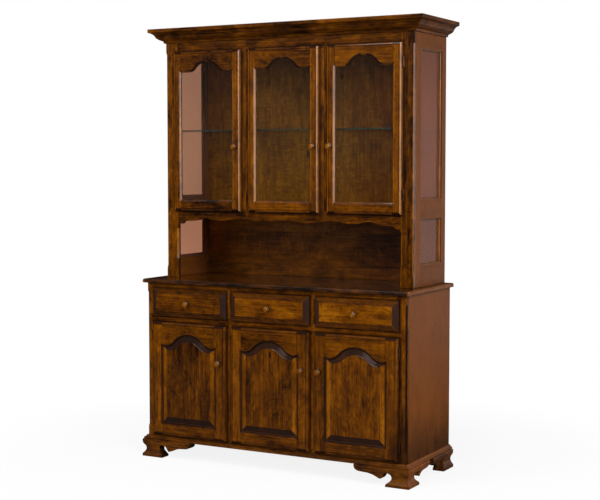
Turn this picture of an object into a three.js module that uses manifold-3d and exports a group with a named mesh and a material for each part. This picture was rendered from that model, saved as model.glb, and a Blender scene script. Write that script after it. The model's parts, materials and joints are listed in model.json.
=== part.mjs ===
// Step back cupboard: a base with three drawers over three panelled doors, a worktop, and a
// glazed hutch set back on it. Millimetres, +X to the right, +Y towards the wall, +Z up.
import * as THREE from 'three';
import { mergeVertices } from 'three/addons/utils/BufferGeometryUtils.js';
import Module from 'manifold-3d';

const wasm = await Module();
wasm.setup();

// Overall sizes
const baseWidth = 1416;
const baseDepth = 502;
const worktopHeight = 894;
const totalHeight = 2134;
const hutchEndInset = 28;
const hutchSetBack = 133;

// Boards, joints and clearances
const board = 20;
const backBoard = 10;
const backInset = 2;
const seatGap = 0.3;
const overrun = 5;
const frontThickness = 20;
const frontStandOff = 1.5;
const lap = 10;
const edgeRound = 6;
const columns = [-1, 0, 1];
const columnNames = ['left', 'middle', 'right'];

// Worktop
const worktopThickness = 20;
const worktopOverhang = 19;
const worktopEdgeRound = 8;
const worktopUnderRound = 5;

// Base front: overlay drawers and doors on a face frame
const frontGap = 33;
const frontMargin = 39;
const drawerReveal = 26;
const drawerHeight = 137;
const drawerDoorGap = 31;
const doorReveal = 10;
const baseChamfer = 7;
const baseChamferLowStop = 62;
const baseChamferHighStop = 37;
const chamferTongue = 14;

// Drawers
const drawerBevel = 24;
const drawerBevelStep = 1;
const drawerLip = 7;
const drawerFieldRise = 4;
const drawerBoxWall = 12;
const drawerBoxDepth = 445;
const drawerBoxPlay = 1.5;
const drawerBoxHeadroom = 5;
const drawerBottomThickness = 6;
const drawerBottomLift = 8;
const guideHeight = 22;

// Base doors: frame and raised panel under a cathedral top rail
const baseStile = 60;
const baseBottomRail = 65;
const baseTopRail = 61;
const baseArchRise = 59;
const baseArchReach = 134;
const baseArchRadius = 106;
const stickingReach = 9.5;
const stickingDepth = 6;
const stickingStep = 1;
const grooveDepth = 10;
const grooveWidth = 6.6;
const grooveFromFront = 7.5;
const panelPlay = 1;
const fieldSide = 27;
const fieldPeakDrop = 28;
const fieldArchRise = 46;
const fieldArchReach = 120;
const fieldArchRadius = 85;
const fieldSink = 1;
const fieldStep = 1.6;
const baseShelfTop = 405;
const baseShelfThickness = 18;

// Hutch front: overlay glazed doors on a face frame with a scalloped valance
const hutchDoorGap = 49;
const hutchDoorMargin = 58;
const hutchTopReveal = 48;
const openSpaceHeight = 270;
const valanceRailHeight = 68;
const valanceRise = 31;
const hutchChamfer = 7;
const hutchChamferLowStop = 46;
const hutchChamferHighStop = 44;
const innerChamfer = 9;
const innerChamferLowStop = 92;
const innerChamferHighStop = 10;

// Hutch doors: frame and glass under a cathedral top rail
const hutchStile = 42;
const hutchBottomRail = 54;
const hutchTopRail = 52;
const hutchArchRise = 49;
const hutchArchReach = 99;
const hutchArchRadius = 84;
const glassRebate = 8;
const glassRebateDepth = 9;
const glassThickness = 3.5;

// Hutch sides, shelf and back
const sideFrontStile = 52;
const sideBackStile = 49;
const sideBottomRail = 101;
const sideLowerPaneHeight = 214;
const sideMiddleRail = 91;
const sideTopRail = 72;
const sideRebate = 9;
const sideRebateDepth = 7;
const sidePaneInset = 2.5;
const glassShelfRise = 390;
const glassShelfThickness = 6;
const glassShelfEndPlay = 3;
const glassShelfFrontInset = 14;
const glassShelfBackInset = 5;
const topBoardDrop = 8;
const backsplashHeight = 56;
const backsplashThickness = 18;

// Shelf pegs
const pegRadius = 3;
const pegLength = 12;
const pegSides = 10;
const baseShelfFrontInset = 30;
const baseShelfBackInset = 10;
const basePegInset = 80;
const hutchPegInset = 20;

// Crown moulding, as reach outwards and height above its foot
const crownHeight = 68;
const crownReach = 67;
const crownFootReach = 9;
const crownFootHeight = 3;
const crownStepReach = 16;
const crownStepHeight = 12;
const crownWaistReach = 38;
const crownWaistHeight = 26;
const crownSwell = 2;
const crownFillet = 2;
const crownBodyReach = 55;
const crownBodyHeight = 47;
const crownHollow = 3;
const crownLipHeight = 17;

// Base moulding: two beads, as reach outwards
const mouldingHeight = 20;
const upperBeadReach = 10;
const upperBeadHeight = 8;
const mouldingFillet = 1.5;
const lowerBeadReach = 18.5;

// Ogee bracket feet
const footHeight = 88;
const footReach = 23.5;
const footToeHeight = 13;
const footNeckReach = 8.5;
const footNeckHeight = 39;
const footBulgeReach = 23;
const footBulgeHeight = 76;
const footTopReach = 20;
const footInnerReach = 34;
const frontWing = 280;
const sideWingGap = 45.5;
const toeLength = 118;
const toeRise = 10;
const hollowRadius = 22;
const hollowAlong = 115;
const hollowHeight = 41;
const dropAlong = 150;
const dropHeight = 31;
const scrollHeight = 55;
const scrollRiseShares = [0.2, 0.3];
const wingEndRound = 32;
const braceLength = 118;

// Knobs and hinges
const knobRadius = 16;
const knobLength = 31;
const knobFootRadius = 9;
const knobNeckRadius = 6.5;
const knobSides = 14;
const baseKnobDrop = 180;
const hutchKnobRise = 315;
const hingeRadius = 4.5;
const hingeHeight = 50;
const hingeTipHeight = 6;
const hingeTipRadius = 3;
const hingeGroove = 0.6;
const hingeGrooveHeight = 1;
const hingeLeafThickness = 2;
const hingeLeafReach = 10.5;
const hingeEdgeGap = 0.5;
const hingeSides = 10;
const baseHingeInset = 66;
const hutchHingeInset = 90;

// How finely curves are cut
const archCuts = 5;
const earCuts = 4;
const profileCuts = 4;
const stickingCuts = 3;
const scrollCuts = 5;

// Places worked out from the sizes above
const baseHalf = baseWidth / 2;
const hutchHalf = baseHalf - hutchEndInset;
const carcassTop = worktopHeight - worktopThickness - seatGap;
const carcassFront = board + seatGap;
const backFace = baseDepth - backInset - backBoard;
const insideBack = backFace - seatGap;
const frontWidth = (baseWidth - 2 * frontMargin - 2 * frontGap) / 3;
const frontPitch = frontWidth + frontGap;
const drawerTop = worktopHeight - worktopThickness - drawerReveal;
const drawerFoot = drawerTop - drawerHeight;
const doorTop = drawerFoot - drawerDoorGap;
const doorFoot = footHeight + mouldingHeight + doorReveal;
const deckTop = drawerFoot + lap;
const hutchFoot = worktopHeight + seatGap;
const hutchTop = totalHeight - topBoardDrop;
const crownFoot = totalHeight - crownHeight;
const hutchDoorWidth = (2 * hutchHalf - 2 * hutchDoorMargin - 2 * hutchDoorGap) / 3;
const hutchPitch = hutchDoorWidth + hutchDoorGap;
const hutchDoorFoot = worktopHeight + openSpaceHeight + valanceRailHeight;
const hutchDoorTop = crownFoot - hutchTopReveal;
const hutchFloorTop = hutchDoorFoot + lap;
const hutchInner = hutchHalf - board - seatGap;
const hutchFront = hutchSetBack + board + seatGap;
const openHalf = hutchHalf - hutchDoorMargin - lap;
const glassShelfTop = hutchFloorTop + glassShelfRise;
const frontFace = -frontStandOff - frontThickness;
const frontReach = frontStandOff + frontThickness + seatGap + knobLength;
const hingeSetBack = hingeRadius + seatGap;
const hingeSetOut = hingeRadius + hingeEdgeGap;
const sideWing = (baseDepth + footReach - sideWingGap) / 2;

// Finishes
const caseWood = { color: '#7a4a24', roughness: 0.42, metalness: 0 };
const frontWood = { color: '#84511f', roughness: 0.4, metalness: 0 };
const worktopWood = { color: '#6a3f20', roughness: 0.25, metalness: 0 };
const insideWood = { color: '#5b3a20', roughness: 0.55, metalness: 0 };
const knobWood = { color: '#8a5626', roughness: 0.25, metalness: 0 };
const clearGlass = { color: '#dfe8e4', roughness: 0.05, metalness: 0 };
const hingeBrass = { color: '#7d6238', roughness: 0.35, metalness: 1 };

function piece(name, geometry, finish) {
  const mesh = new THREE.Mesh(geometry, new THREE.MeshStandardMaterial(finish));
  mesh.name = name;
  return mesh;
}

// A closed geometry as a solid that can be joined and cut
function solid(geometry) {
  const bare = geometry.clone();
  bare.deleteAttribute('normal');
  bare.deleteAttribute('uv');
  const merged = mergeVertices(bare);
  const vertProperties = merged.attributes.position.array;
  const triVerts = new Uint32Array(merged.index.array);
  return new wasm.Manifold(new wasm.Mesh({ numProp: 3, vertProperties, triVerts }));
}

// A solid back as a geometry
function shell(joined) {
  const mesh = joined.getMesh();
  const geometry = new THREE.BufferGeometry();
  geometry.setAttribute('position', new THREE.BufferAttribute(mesh.vertProperties, 3));
  geometry.setIndex(new THREE.BufferAttribute(mesh.triVerts, 1));
  geometry.computeVertexNormals();
  return geometry;
}

// A square-edged board between two corners
function boardBetween(low, high) {
  const sizes = high.map((value, axis) => value - low[axis]);
  const middle = low.map((value, axis) => value + sizes[axis] / 2);
  return new THREE.BoxGeometry(...sizes).translate(...middle);
}

// A board that is the same on either side of the middle line
function spanningBoard(half, yLow, yHigh, zLow, zHigh) {
  return boardBetween([-half, yLow, zLow], [half, yHigh, zHigh]);
}

// An outline in X and Z, thick from yLow to yHigh
function frontBoard(shape, yLow, yHigh) {
  const settings = { depth: yHigh - yLow, bevelEnabled: false, curveSegments: scrollCuts };
  const geometry = new THREE.ExtrudeGeometry(shape, settings);
  const [x, y, z] = [[1, 0, 0], [0, 1, 0], [0, 0, 1]].map((axis) => new THREE.Vector3(...axis));
  return geometry.applyMatrix4(new THREE.Matrix4().makeBasis(x, z, y.negate())).translate(0, yHigh, 0);
}

// An outline in Y and Z, thick from xLow to xHigh
function sideBoard(shape, xLow, xHigh) {
  const settings = { depth: xHigh - xLow, bevelEnabled: false, curveSegments: scrollCuts };
  const geometry = new THREE.ExtrudeGeometry(shape, settings);
  const [x, y, z] = [[1, 0, 0], [0, 1, 0], [0, 0, 1]].map((axis) => new THREE.Vector3(...axis));
  return geometry.applyMatrix4(new THREE.Matrix4().makeBasis(y, z, x)).translate(xLow, 0, 0);
}

// Six times the volume inside a skin, negative where its faces point inwards
function signedVolume(positions, triangles) {
  const corner = (index) => new THREE.Vector3().fromArray(positions, 3 * index);
  let total = 0;
  for (let at = 0; at < triangles.length; at += 3) {
    const [a, b, c] = triangles.slice(at, at + 3).map(corner);
    total += a.dot(b.cross(c));
  }
  return total;
}

// A closed skin over rings of equal point counts; the first and last rings are filled flat
function skin(rings, firstFlat, lastFlat) {
  const count = firstFlat.length;
  const positions = rings.flat().flatMap((point) => point.toArray());
  const last = (rings.length - 1) * count;
  const triangles = [];
  for (let at = 0; at < last; at += 1) {
    const next = at % count === count - 1 ? at + 1 - count : at + 1;
    triangles.push(at, next, next + count, at, next + count, at + count);
  }
  for (const [a, b, c] of THREE.ShapeUtils.triangulateShape(firstFlat, [])) {
    triangles.push(c, b, a);
  }
  for (const face of THREE.ShapeUtils.triangulateShape(lastFlat, [])) {
    triangles.push(...face.map((index) => last + index));
  }
  if (signedVolume(positions, triangles) < 0) {
    triangles.reverse();
  }
  const geometry = new THREE.BufferGeometry();
  geometry.setAttribute('position', new THREE.Float32BufferAttribute(positions, 3));
  geometry.setIndex(triangles);
  return geometry;
}

// Outlines in X and Z, each at its own depth, skinned from back to front
function frontLoft(levels) {
  const rings = levels.map(([y, outline]) => outline.map((point) => new THREE.Vector3(point.x, y, point.y)));
  return skin(rings, levels[0][1], levels[levels.length - 1][1]);
}

// A rectangle about the middle line, its sides drawn in by inset
function rectangle(half, zLow, zHigh, inset) {
  const [side, low, high] = [half - inset, zLow + inset, zHigh - inset];
  return [[-side, low], [side, low], [side, high], [-side, high]].map((point) => new THREE.Vector2(...point));
}

// A door or drawer blank whose front edge is rounded over
function roundedBlank(half, zLow, zHigh) {
  const levels = [[-frontStandOff, rectangle(half, zLow, zHigh, 0)]];
  for (let cut = 0; cut <= profileCuts; cut += 1) {
    const turn = (cut / profileCuts) * (Math.PI / 2);
    const depth = frontFace + edgeRound * (1 - Math.sin(turn));
    levels.push([depth, rectangle(half, zLow, zHigh, edgeRound * (1 - Math.cos(turn)))]);
  }
  return frontLoft(levels);
}

// A moulding profile carried round the left side, the front and the right side, with mitred corners
function wrapAround(profile, half, front, back) {
  const stations = [
    (reach) => [-half - reach, back],
    (reach) => [-half - reach, front - reach],
    (reach) => [half + reach, front - reach],
    (reach) => [half + reach, back],
  ];
  const rings = stations.map((station) => profile.map((point) => {
    return new THREE.Vector3(...station(point.x), point.y);
  }));
  return skin(rings, profile, profile);
}

// The points of a closed profile drawn anticlockwise
function profilePoints(path) {
  const points = path.getPoints(profileCuts);
  return THREE.ShapeUtils.isClockWise(points) ? points.reverse() : points;
}

// A stopped chamfer's cutter on an upright edge: full width between two tapering ends.
// towards is the side of the edge, in X, on which the wood lies.
function chamferCutter(edgeX, edgeY, towards, width, zLow, zHigh) {
  const section = (size) => [[size + overrun, -overrun], [-overrun, size + overrun], [-overrun, -overrun]]
    .map(([along, into]) => new THREE.Vector2(edgeX + towards * along, edgeY + into));
  const stops = [[0, zLow], [width, zLow + chamferTongue], [width, zHigh - chamferTongue], [0, zHigh]];
  const flats = stops.map(([size]) => {
    const flat = section(size);
    return towards > 0 ? flat : flat.reverse();
  });
  const rings = stops.map(([, z], row) => flats[row].map((point) => new THREE.Vector3(point.x, point.y, z)));
  return skin(rings, flats[0], flats[flats.length - 1]);
}

// A cathedral-topped outline: two ears, then reverse curves that rise to a round crown.
// grow moves the whole outline outwards by that much.
function cathedral(opening, grow) {
  const { half, foot, peak, rise, reach, crownRadius, flatEars } = opening;
  const earRadius = (reach * reach + rise * rise) / (2 * rise) - crownRadius;
  const turn = Math.asin(reach / (crownRadius + earRadius));
  const [side, crown, ear] = [half + grow, crownRadius + grow, earRadius - grow];
  const crownMiddle = peak - crownRadius;
  const earMiddle = peak - rise + earRadius;
  const curve = [];
  for (let cut = 0; cut <= archCuts; cut += 1) {
    const angle = (cut / archCuts) * turn;
    curve.push([crown * Math.sin(angle), crownMiddle + crown * Math.cos(angle)]);
  }
  for (let cut = 1; cut <= earCuts; cut += 1) {
    const angle = (1 - cut / earCuts) * turn;
    curve.push([reach - ear * Math.sin(angle), earMiddle - ear * Math.cos(angle)]);
  }
  const earEnd = Math.min(1, (side - reach) / ear);
  const lift = flatEars ? 0 : ear * (1 - Math.sqrt(1 - earEnd * earEnd));
  curve.push([side, earMiddle - ear + lift]);
  const left = curve.slice(1).reverse().map(([x, z]) => [-x, z]);
  const top = [...left, ...curve].reverse();
  return [[-side, foot - grow], [side, foot - grow], ...top].map((point) => new THREE.Vector2(...point));
}

// The space inside a door frame, from one depth to another, with its outline grown at each
function frameSpace(opening, backDepth, backGrow, frontDepth, frontGrow) {
  return frontLoft([[backDepth, cathedral(opening, backGrow)], [frontDepth, cathedral(opening, frontGrow)]]);
}

// A knob turned on a lathe, its foot at the origin and its head towards the room
function turnedKnob() {
  const [foot, neck] = [knobFootRadius, knobNeckRadius];
  const outline = new THREE.Path();
  outline.moveTo(0, 0);
  outline.lineTo(foot, 0);
  outline.quadraticCurveTo(neck, knobLength * 0.12, neck, knobLength * 0.3);
  outline.bezierCurveTo(neck, knobLength * 0.45, knobRadius, knobLength * 0.4, knobRadius, knobLength * 0.68);
  outline.bezierCurveTo(knobRadius, knobLength * 0.9, knobRadius * 0.6, knobLength, 0, knobLength);
  return new THREE.LatheGeometry(outline.getPoints(profileCuts), knobSides);
}

function placedKnob(name, x, z) {
  const knob = piece(name, turnedKnob(), knobWood);
  knob.rotation.x = Math.PI;
  knob.position.set(x, frontFace - seatGap, z);
  return knob;
}

// A butt hinge's barrel with its two joints and ball tips, and the leaf let into the door's edge.
// doorSide is +1 where the door lies to the right of the pin.
function hingeShape(doorSide) {
  const half = hingeHeight / 2;
  const [full, cut] = [hingeRadius, hingeRadius - hingeGroove];
  const knuckle = hingeHeight / 6;
  const tip = half + hingeTipHeight;
  const outline = [
    [0, -tip], [hingeTipRadius, -half - hingeTipHeight / 2], [hingeTipRadius / 2, -half], [full, -half],
    [full, -knuckle], [cut, -knuckle + hingeGrooveHeight / 2], [full, -knuckle + hingeGrooveHeight],
    [full, knuckle - hingeGrooveHeight], [cut, knuckle - hingeGrooveHeight / 2], [full, knuckle],
    [full, half], [hingeTipRadius / 2, half], [hingeTipRadius, half + hingeTipHeight / 2], [0, tip],
  ].map((point) => new THREE.Vector2(...point));
  const barrel = new THREE.LatheGeometry(outline, hingeSides).rotateX(Math.PI / 2);
  const across = [0, hingeSetOut + hingeLeafThickness].map((x) => doorSide * x).sort((a, b) => a - b);
  const leafAcross = [hingeSetOut, hingeSetOut + hingeLeafThickness]
    .map((x) => doorSide * x).sort((a, b) => a - b);
  const web = hingeLeafThickness / 2;
  const bridge = boardBetween([across[0], -web, -half], [across[1], web, half]);
  const leaf = boardBetween([leafAcross[0], -hingeLeafReach, -half], [leafAcross[1], web, half]);
  return shell(solid(barrel).add(solid(bridge)).add(solid(leaf)));
}

// The mortise in a door's edge that takes the hinge leaf, open at the back of the door
function leafMortise(doorHalf, hingeSide, z) {
  const depth = hingeLeafThickness + seatGap;
  const across = [hingeSide * (doorHalf + overrun), hingeSide * (doorHalf - depth)].sort((a, b) => a - b);
  const front = -hingeSetBack - hingeLeafReach - seatGap;
  const half = hingeHeight / 2 + seatGap;
  return boardBetween([across[0], front, z - half], [across[1], overrun, z + half]);
}

function hingesOf(doorName, doorHalf, hingeSide, heights) {
  return heights.map((z, row) => {
    const hinge = piece(`${doorName}_${row ? 'upper' : 'lower'}_hinge`, hingeShape(-hingeSide), hingeBrass);
    hinge.position.set(hingeSide * (doorHalf + hingeSetOut), -hingeSetBack, z);
    return hinge;
  });
}

function shelfPeg(side, insideFace, y, top) {
  const peg = new THREE.CylinderGeometry(pegRadius, pegRadius, pegLength + overrun, pegSides);
  peg.rotateZ(Math.PI / 2);
  const middle = insideFace + (overrun - pegLength) / 2;
  return solid(peg.translate(side * middle, y, top - pegRadius));
}

// Base case
function baseSide(side) {
  const across = [side * (baseHalf - board), side * baseHalf].sort((a, b) => a - b);
  const panel = boardBetween([across[0], carcassFront, footHeight], [across[1], baseDepth, carcassTop]);
  const pegTop = baseShelfTop - baseShelfThickness - seatGap;
  const pegPlaces = [carcassFront + basePegInset, insideBack - basePegInset];
  return shell(pegPlaces.reduce((joined, y) => {
    return joined.add(shelfPeg(side, baseHalf - board, y, pegTop));
  }, solid(panel)));
}

function baseFaceFrame() {
  let frame = solid(spanningBoard(baseHalf, 0, board, footHeight, carcassTop));
  const half = frontWidth / 2 - lap;
  for (const column of columns) {
    const [left, right] = [column * frontPitch - half, column * frontPitch + half];
    for (const [foot, top] of [[deckTop, drawerTop - lap], [doorFoot + lap, doorTop - lap]]) {
      frame = frame.subtract(solid(boardBetween([left, -overrun, foot], [right, board + overrun, top])));
    }
  }
  const [low, high] = [footHeight + baseChamferLowStop, carcassTop - baseChamferHighStop];
  for (const side of [-1, 1]) {
    frame = frame.subtract(solid(chamferCutter(side * baseHalf, 0, -side, baseChamfer, low, high)));
  }
  return shell(frame);
}

function baseBottom() {
  const top = doorFoot + lap;
  return spanningBoard(baseHalf - board - seatGap, carcassFront, insideBack, top - board, top);
}

function baseBack() {
  return spanningBoard(baseHalf - board - seatGap, backFace, backFace + backBoard, footHeight, carcassTop);
}

function baseShelf() {
  const half = baseHalf - board - glassShelfEndPlay;
  const [front, back] = [carcassFront + baseShelfFrontInset, insideBack - baseShelfBackInset];
  return spanningBoard(half, front, back, baseShelfTop - baseShelfThickness, baseShelfTop);
}

// The board that the drawers run on, with the guides that keep them straight glued on
function drawerDeck() {
  const half = baseHalf - board - seatGap;
  let deck = solid(spanningBoard(half, carcassFront, insideBack, deckTop - board, deckTop));
  const boxHalf = frontWidth / 2 - lap - drawerBoxPlay;
  const innerHalf = frontPitch / 2 - boxHalf - drawerBoxPlay;
  const outer = frontPitch + boxHalf + drawerBoxPlay;
  const top = deckTop + guideHeight;
  const guides = [[-half, -outer], [-frontPitch / 2 - innerHalf, -frontPitch / 2 + innerHalf],
    [frontPitch / 2 - innerHalf, frontPitch / 2 + innerHalf], [outer, half]];
  for (const [left, right] of guides) {
    deck = deck.add(solid(boardBetween([left, carcassFront, deckTop - board], [right, insideBack, top])));
  }
  return shell(deck);
}

// The worktop's edge is rounded under and more broadly over, on the front and both ends
function worktop() {
  const foot = worktopHeight - worktopThickness;
  const levels = [];
  for (let cut = 0; cut <= profileCuts; cut += 1) {
    const turn = (cut / profileCuts) * (Math.PI / 2);
    const inset = worktopUnderRound * (1 - Math.sin(turn));
    levels.push([foot + worktopUnderRound * (1 - Math.cos(turn)), inset]);
  }
  for (let cut = 0; cut <= profileCuts; cut += 1) {
    const turn = (cut / profileCuts) * (Math.PI / 2);
    const inset = worktopEdgeRound * (1 - Math.cos(turn));
    levels.push([worktopHeight - worktopEdgeRound * (1 - Math.sin(turn)), inset]);
  }
  const flats = levels.map(([, inset]) => {
    const side = baseHalf + worktopOverhang - inset;
    const front = inset - worktopOverhang;
    return [[-side, front], [side, front], [side, baseDepth], [-side, baseDepth]]
      .map((point) => new THREE.Vector2(...point));
  });
  const rings = levels.map(([z], row) => flats[row].map((point) => new THREE.Vector3(point.x, point.y, z)));
  return skin(rings, flats[0], flats[flats.length - 1]);
}

// Two beads round the foot of the base, the lower one standing further out
function baseMoulding() {
  const [low, high] = [footHeight, footHeight + mouldingHeight];
  const shoulder = high - upperBeadHeight;
  const profile = new THREE.Path();
  profile.moveTo(seatGap, high);
  profile.quadraticCurveTo(upperBeadReach, high, upperBeadReach, shoulder);
  profile.lineTo(upperBeadReach + mouldingFillet, shoulder - mouldingFillet);
  profile.quadraticCurveTo(lowerBeadReach, shoulder - mouldingFillet, lowerBeadReach, (low + shoulder) / 2);
  profile.lineTo(lowerBeadReach - mouldingFillet, low);
  profile.lineTo(seatGap, low);
  return wrapAround(profilePoints(profile), baseHalf, 0, baseDepth);
}

// The ogee section of a foot: reach beyond the case against height
function footSection() {
  const top = footHeight - seatGap;
  const section = new THREE.Path();
  section.moveTo(footReach, 0);
  section.lineTo(footReach, footToeHeight);
  const [bellied, waist] = [(footToeHeight + footNeckHeight) / 2, (footNeckHeight + footBulgeHeight) / 2];
  section.quadraticCurveTo(footNeckReach, bellied, footNeckReach, footNeckHeight);
  section.bezierCurveTo(footNeckReach, waist, footBulgeReach, waist, footBulgeReach, footBulgeHeight);
  section.quadraticCurveTo(footBulgeReach, top, footTopReach, top);
  section.lineTo(-footInnerReach, top);
  section.lineTo(-footInnerReach, 0);
  return profilePoints(section);
}

// What is sawn away under a foot's wing: round the hollow behind the toe, under the drop, and
// along the scroll to the wing's end. Measured along the wing from its corner.
function scrollWaste(wing) {
  const waste = new THREE.Shape();
  waste.moveTo(toeLength, -overrun);
  waste.lineTo(toeLength, toeRise);
  waste.absarc(hollowAlong, hollowHeight, hollowRadius, Math.PI * 1.21, Math.PI * 0.06, true);
  waste.quadraticCurveTo((hollowAlong + hollowRadius + dropAlong) / 2, dropHeight, dropAlong, dropHeight);
  const scrollRun = wing - wingEndRound - dropAlong;
  const [leave, level] = scrollRiseShares.map((share) => dropAlong + share * scrollRun);
  waste.bezierCurveTo(leave, dropHeight, level, scrollHeight, dropAlong + scrollRun, scrollHeight);
  waste.quadraticCurveTo(wing, scrollHeight, wing, footHeight);
  waste.lineTo(wing + overrun, footHeight + overrun);
  waste.lineTo(wing + overrun, -overrun);
  waste.closePath();
  return waste.getPoints(scrollCuts);
}

function wasteShape(points, place) {
  const placed = points.map((point) => new THREE.Vector2(place(point.x), point.y));
  return new THREE.Shape(THREE.ShapeUtils.isClockWise(placed) ? placed.reverse() : placed);
}

// A front foot: the ogee section mitred round the corner, then both wings sawn to the scroll
function frontFoot(side) {
  const profile = footSection();
  const stations = [
    (reach) => [baseHalf + footReach - frontWing, -reach],
    (reach) => [baseHalf + reach, -reach],
    (reach) => [baseHalf + reach, sideWing - footReach],
  ];
  const rings = stations.map((station) => profile.map((point) => {
    const [x, y] = station(point.x);
    return new THREE.Vector3(side * x, y, point.y);
  }));
  const frontWaste = wasteShape(scrollWaste(frontWing), (along) => side * (baseHalf + footReach - along));
  const sideWaste = wasteShape(scrollWaste(sideWing), (along) => along - footReach);
  const [inner, outer] = [footInnerReach + overrun, footReach + overrun];
  const across = [side * (baseHalf - inner), side * (baseHalf + outer)].sort((a, b) => a - b);
  return shell(solid(skin(rings, profile, profile))
    .subtract(solid(frontBoard(frontWaste, -outer, inner)))
    .subtract(solid(sideBoard(sideWaste, across[0], across[1]))));
}

// A rear foot: one scrolled wing along the side and a plain brace under the back
function rearFoot(side) {
  const profile = footSection();
  const rings = [baseDepth - sideWing, baseDepth].map((y) => profile.map((point) => {
    return new THREE.Vector3(side * (baseHalf + point.x), y, point.y);
  }));
  const waste = wasteShape(scrollWaste(sideWing), (along) => baseDepth - along);
  const [inner, outer] = [baseHalf - footInnerReach, baseHalf + footReach + overrun];
  const across = [side * (inner - overrun), side * outer].sort((a, b) => a - b);
  const wing = solid(skin(rings, profile, profile)).subtract(solid(sideBoard(waste, across[0], across[1])));
  const top = footHeight - seatGap;
  const brace = new THREE.Shape();
  brace.moveTo(side * baseHalf, 0);
  brace.lineTo(side * baseHalf, top);
  brace.lineTo(side * (baseHalf - braceLength), top);
  brace.lineTo(side * (baseHalf - braceLength), scrollHeight);
  brace.lineTo(side * (baseHalf - board), 0);
  brace.closePath();
  return shell(wing.add(solid(frontBoard(brace, baseDepth - board, baseDepth))));
}

// A drawer: the overlaid front with its bevelled edge, and the box dovetailed to it
function drawer() {
  const half = frontWidth / 2;
  const lipFace = -frontStandOff - drawerLip;
  const fieldFoot = frontFace + drawerFieldRise;
  const front = frontLoft([
    [-frontStandOff, rectangle(half, drawerFoot, drawerTop, 0)],
    [lipFace, rectangle(half, drawerFoot, drawerTop, 0)],
    [fieldFoot, rectangle(half, drawerFoot, drawerTop, drawerBevel)],
    [frontFace, rectangle(half, drawerFoot, drawerTop, drawerBevel + drawerBevelStep)],
  ]);
  const boxHalf = half - lap - drawerBoxPlay;
  const low = deckTop + seatGap;
  const high = drawerTop - lap - drawerBoxHeadroom;
  const inner = boxHalf - drawerBoxWall;
  const innerBack = drawerBoxDepth - drawerBoxWall;
  const floor = low + drawerBottomLift + drawerBottomThickness;
  const box = spanningBoard(boxHalf, -frontStandOff, drawerBoxDepth, low, high);
  const inside = spanningBoard(inner, drawerBoxWall, innerBack, floor, high + overrun);
  const under = spanningBoard(inner, drawerBoxWall, innerBack, low - overrun, low + drawerBottomLift);
  return shell(solid(box).subtract(solid(inside)).subtract(solid(under)).add(solid(front)));
}

const baseOpening = {
  half: frontWidth / 2 - baseStile,
  foot: doorFoot + baseBottomRail,
  peak: doorTop - baseTopRail,
  rise: baseArchRise,
  reach: baseArchReach,
  crownRadius: baseArchRadius,
  flatEars: false,
};

const baseField = {
  half: baseOpening.half - fieldSide,
  foot: baseOpening.foot + fieldSide,
  peak: baseOpening.peak - fieldPeakDrop,
  rise: fieldArchRise,
  reach: fieldArchReach,
  crownRadius: fieldArchRadius,
  flatEars: false,
};

const hutchOpening = {
  half: hutchDoorWidth / 2 - hutchStile,
  foot: hutchDoorFoot + hutchBottomRail,
  peak: hutchDoorTop - hutchTopRail,
  rise: hutchArchRise,
  reach: hutchArchReach,
  crownRadius: hutchArchRadius,
  flatEars: true,
};

// What the moulding of a frame's inner edge takes away: a small step, then a quarter round
function mouldedSpace(opening) {
  const levels = [];
  for (let cut = 0; cut <= stickingCuts; cut += 1) {
    const turn = (1 - cut / stickingCuts) * (Math.PI / 2);
    const depth = stickingStep + (stickingDepth - stickingStep) * (1 - Math.cos(turn));
    levels.push([frontFace + depth, cathedral(opening, stickingReach * (1 - Math.sin(turn)))]);
  }
  levels.push([frontFace - overrun, cathedral(opening, stickingReach)]);
  return frontLoft(levels);
}

// A door frame with moulded inner edges, before its groove or rebate is cut
function plainDoorFrame(half, foot, top, opening, hingeSide, hingeHeights) {
  const through = frameSpace(opening, overrun, 0, frontFace - overrun, 0);
  const blank = solid(roundedBlank(half, foot, top));
  const frame = blank.subtract(solid(through)).subtract(solid(mouldedSpace(opening)));
  return hingeHeights.reduce((cut, z) => cut.subtract(solid(leafMortise(half, hingeSide, z))), frame);
}

function baseDoorFrame(hingeSide, hingeHeights) {
  const grooveFront = frontFace + grooveFromFront;
  const groove = frameSpace(baseOpening, grooveFront + grooveWidth, grooveDepth, grooveFront, grooveDepth);
  const frame = plainDoorFrame(frontWidth / 2, doorFoot, doorTop, baseOpening, hingeSide, hingeHeights);
  return shell(frame.subtract(solid(groove)));
}

// The raised panel: its tongue sits in the frame's groove, and its bevel rises to the field
function raisedPanel() {
  const tongueFront = frontFace + grooveFromFront + seatGap;
  const tongueBack = frontFace + grooveFromFront + grooveWidth - seatGap;
  const fieldFace = frontFace + fieldSink;
  return frontLoft([
    [tongueBack, cathedral(baseOpening, grooveDepth - panelPlay)],
    [tongueFront, cathedral(baseOpening, grooveDepth - panelPlay)],
    [tongueFront, cathedral(baseOpening, -panelPlay)],
    [fieldFace + fieldStep, cathedral(baseField, fieldStep / 2)],
    [fieldFace, cathedral(baseField, 0)],
  ]);
}

function hutchDoorFrame(hingeSide, hingeHeights) {
  const shoulder = -frontStandOff - glassRebateDepth;
  const rebate = frameSpace(hutchOpening, overrun, glassRebate, shoulder, glassRebate);
  const half = hutchDoorWidth / 2;
  const frame = plainDoorFrame(half, hutchDoorFoot, hutchDoorTop, hutchOpening, hingeSide, hingeHeights);
  return shell(frame.subtract(solid(rebate)));
}

function doorGlass() {
  const face = -frontStandOff - glassRebateDepth + seatGap;
  const grow = glassRebate - seatGap;
  return frameSpace(hutchOpening, face + glassThickness, grow, face, grow);
}

// The scalloped lower edge of the hutch's middle rail, from the middle line to the stile:
// shares of the half opening, and of the rise above the ends
const scallopShares = [
  [0, 0.92], [0.205, 0.6], [0.415, 1], [0.597, 0.63], [0.746, 1], [0.822, 0.6], [0.866, 0.5],
  [0.931, 0.46], [0.97, 0], [1, 0],
];

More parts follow.
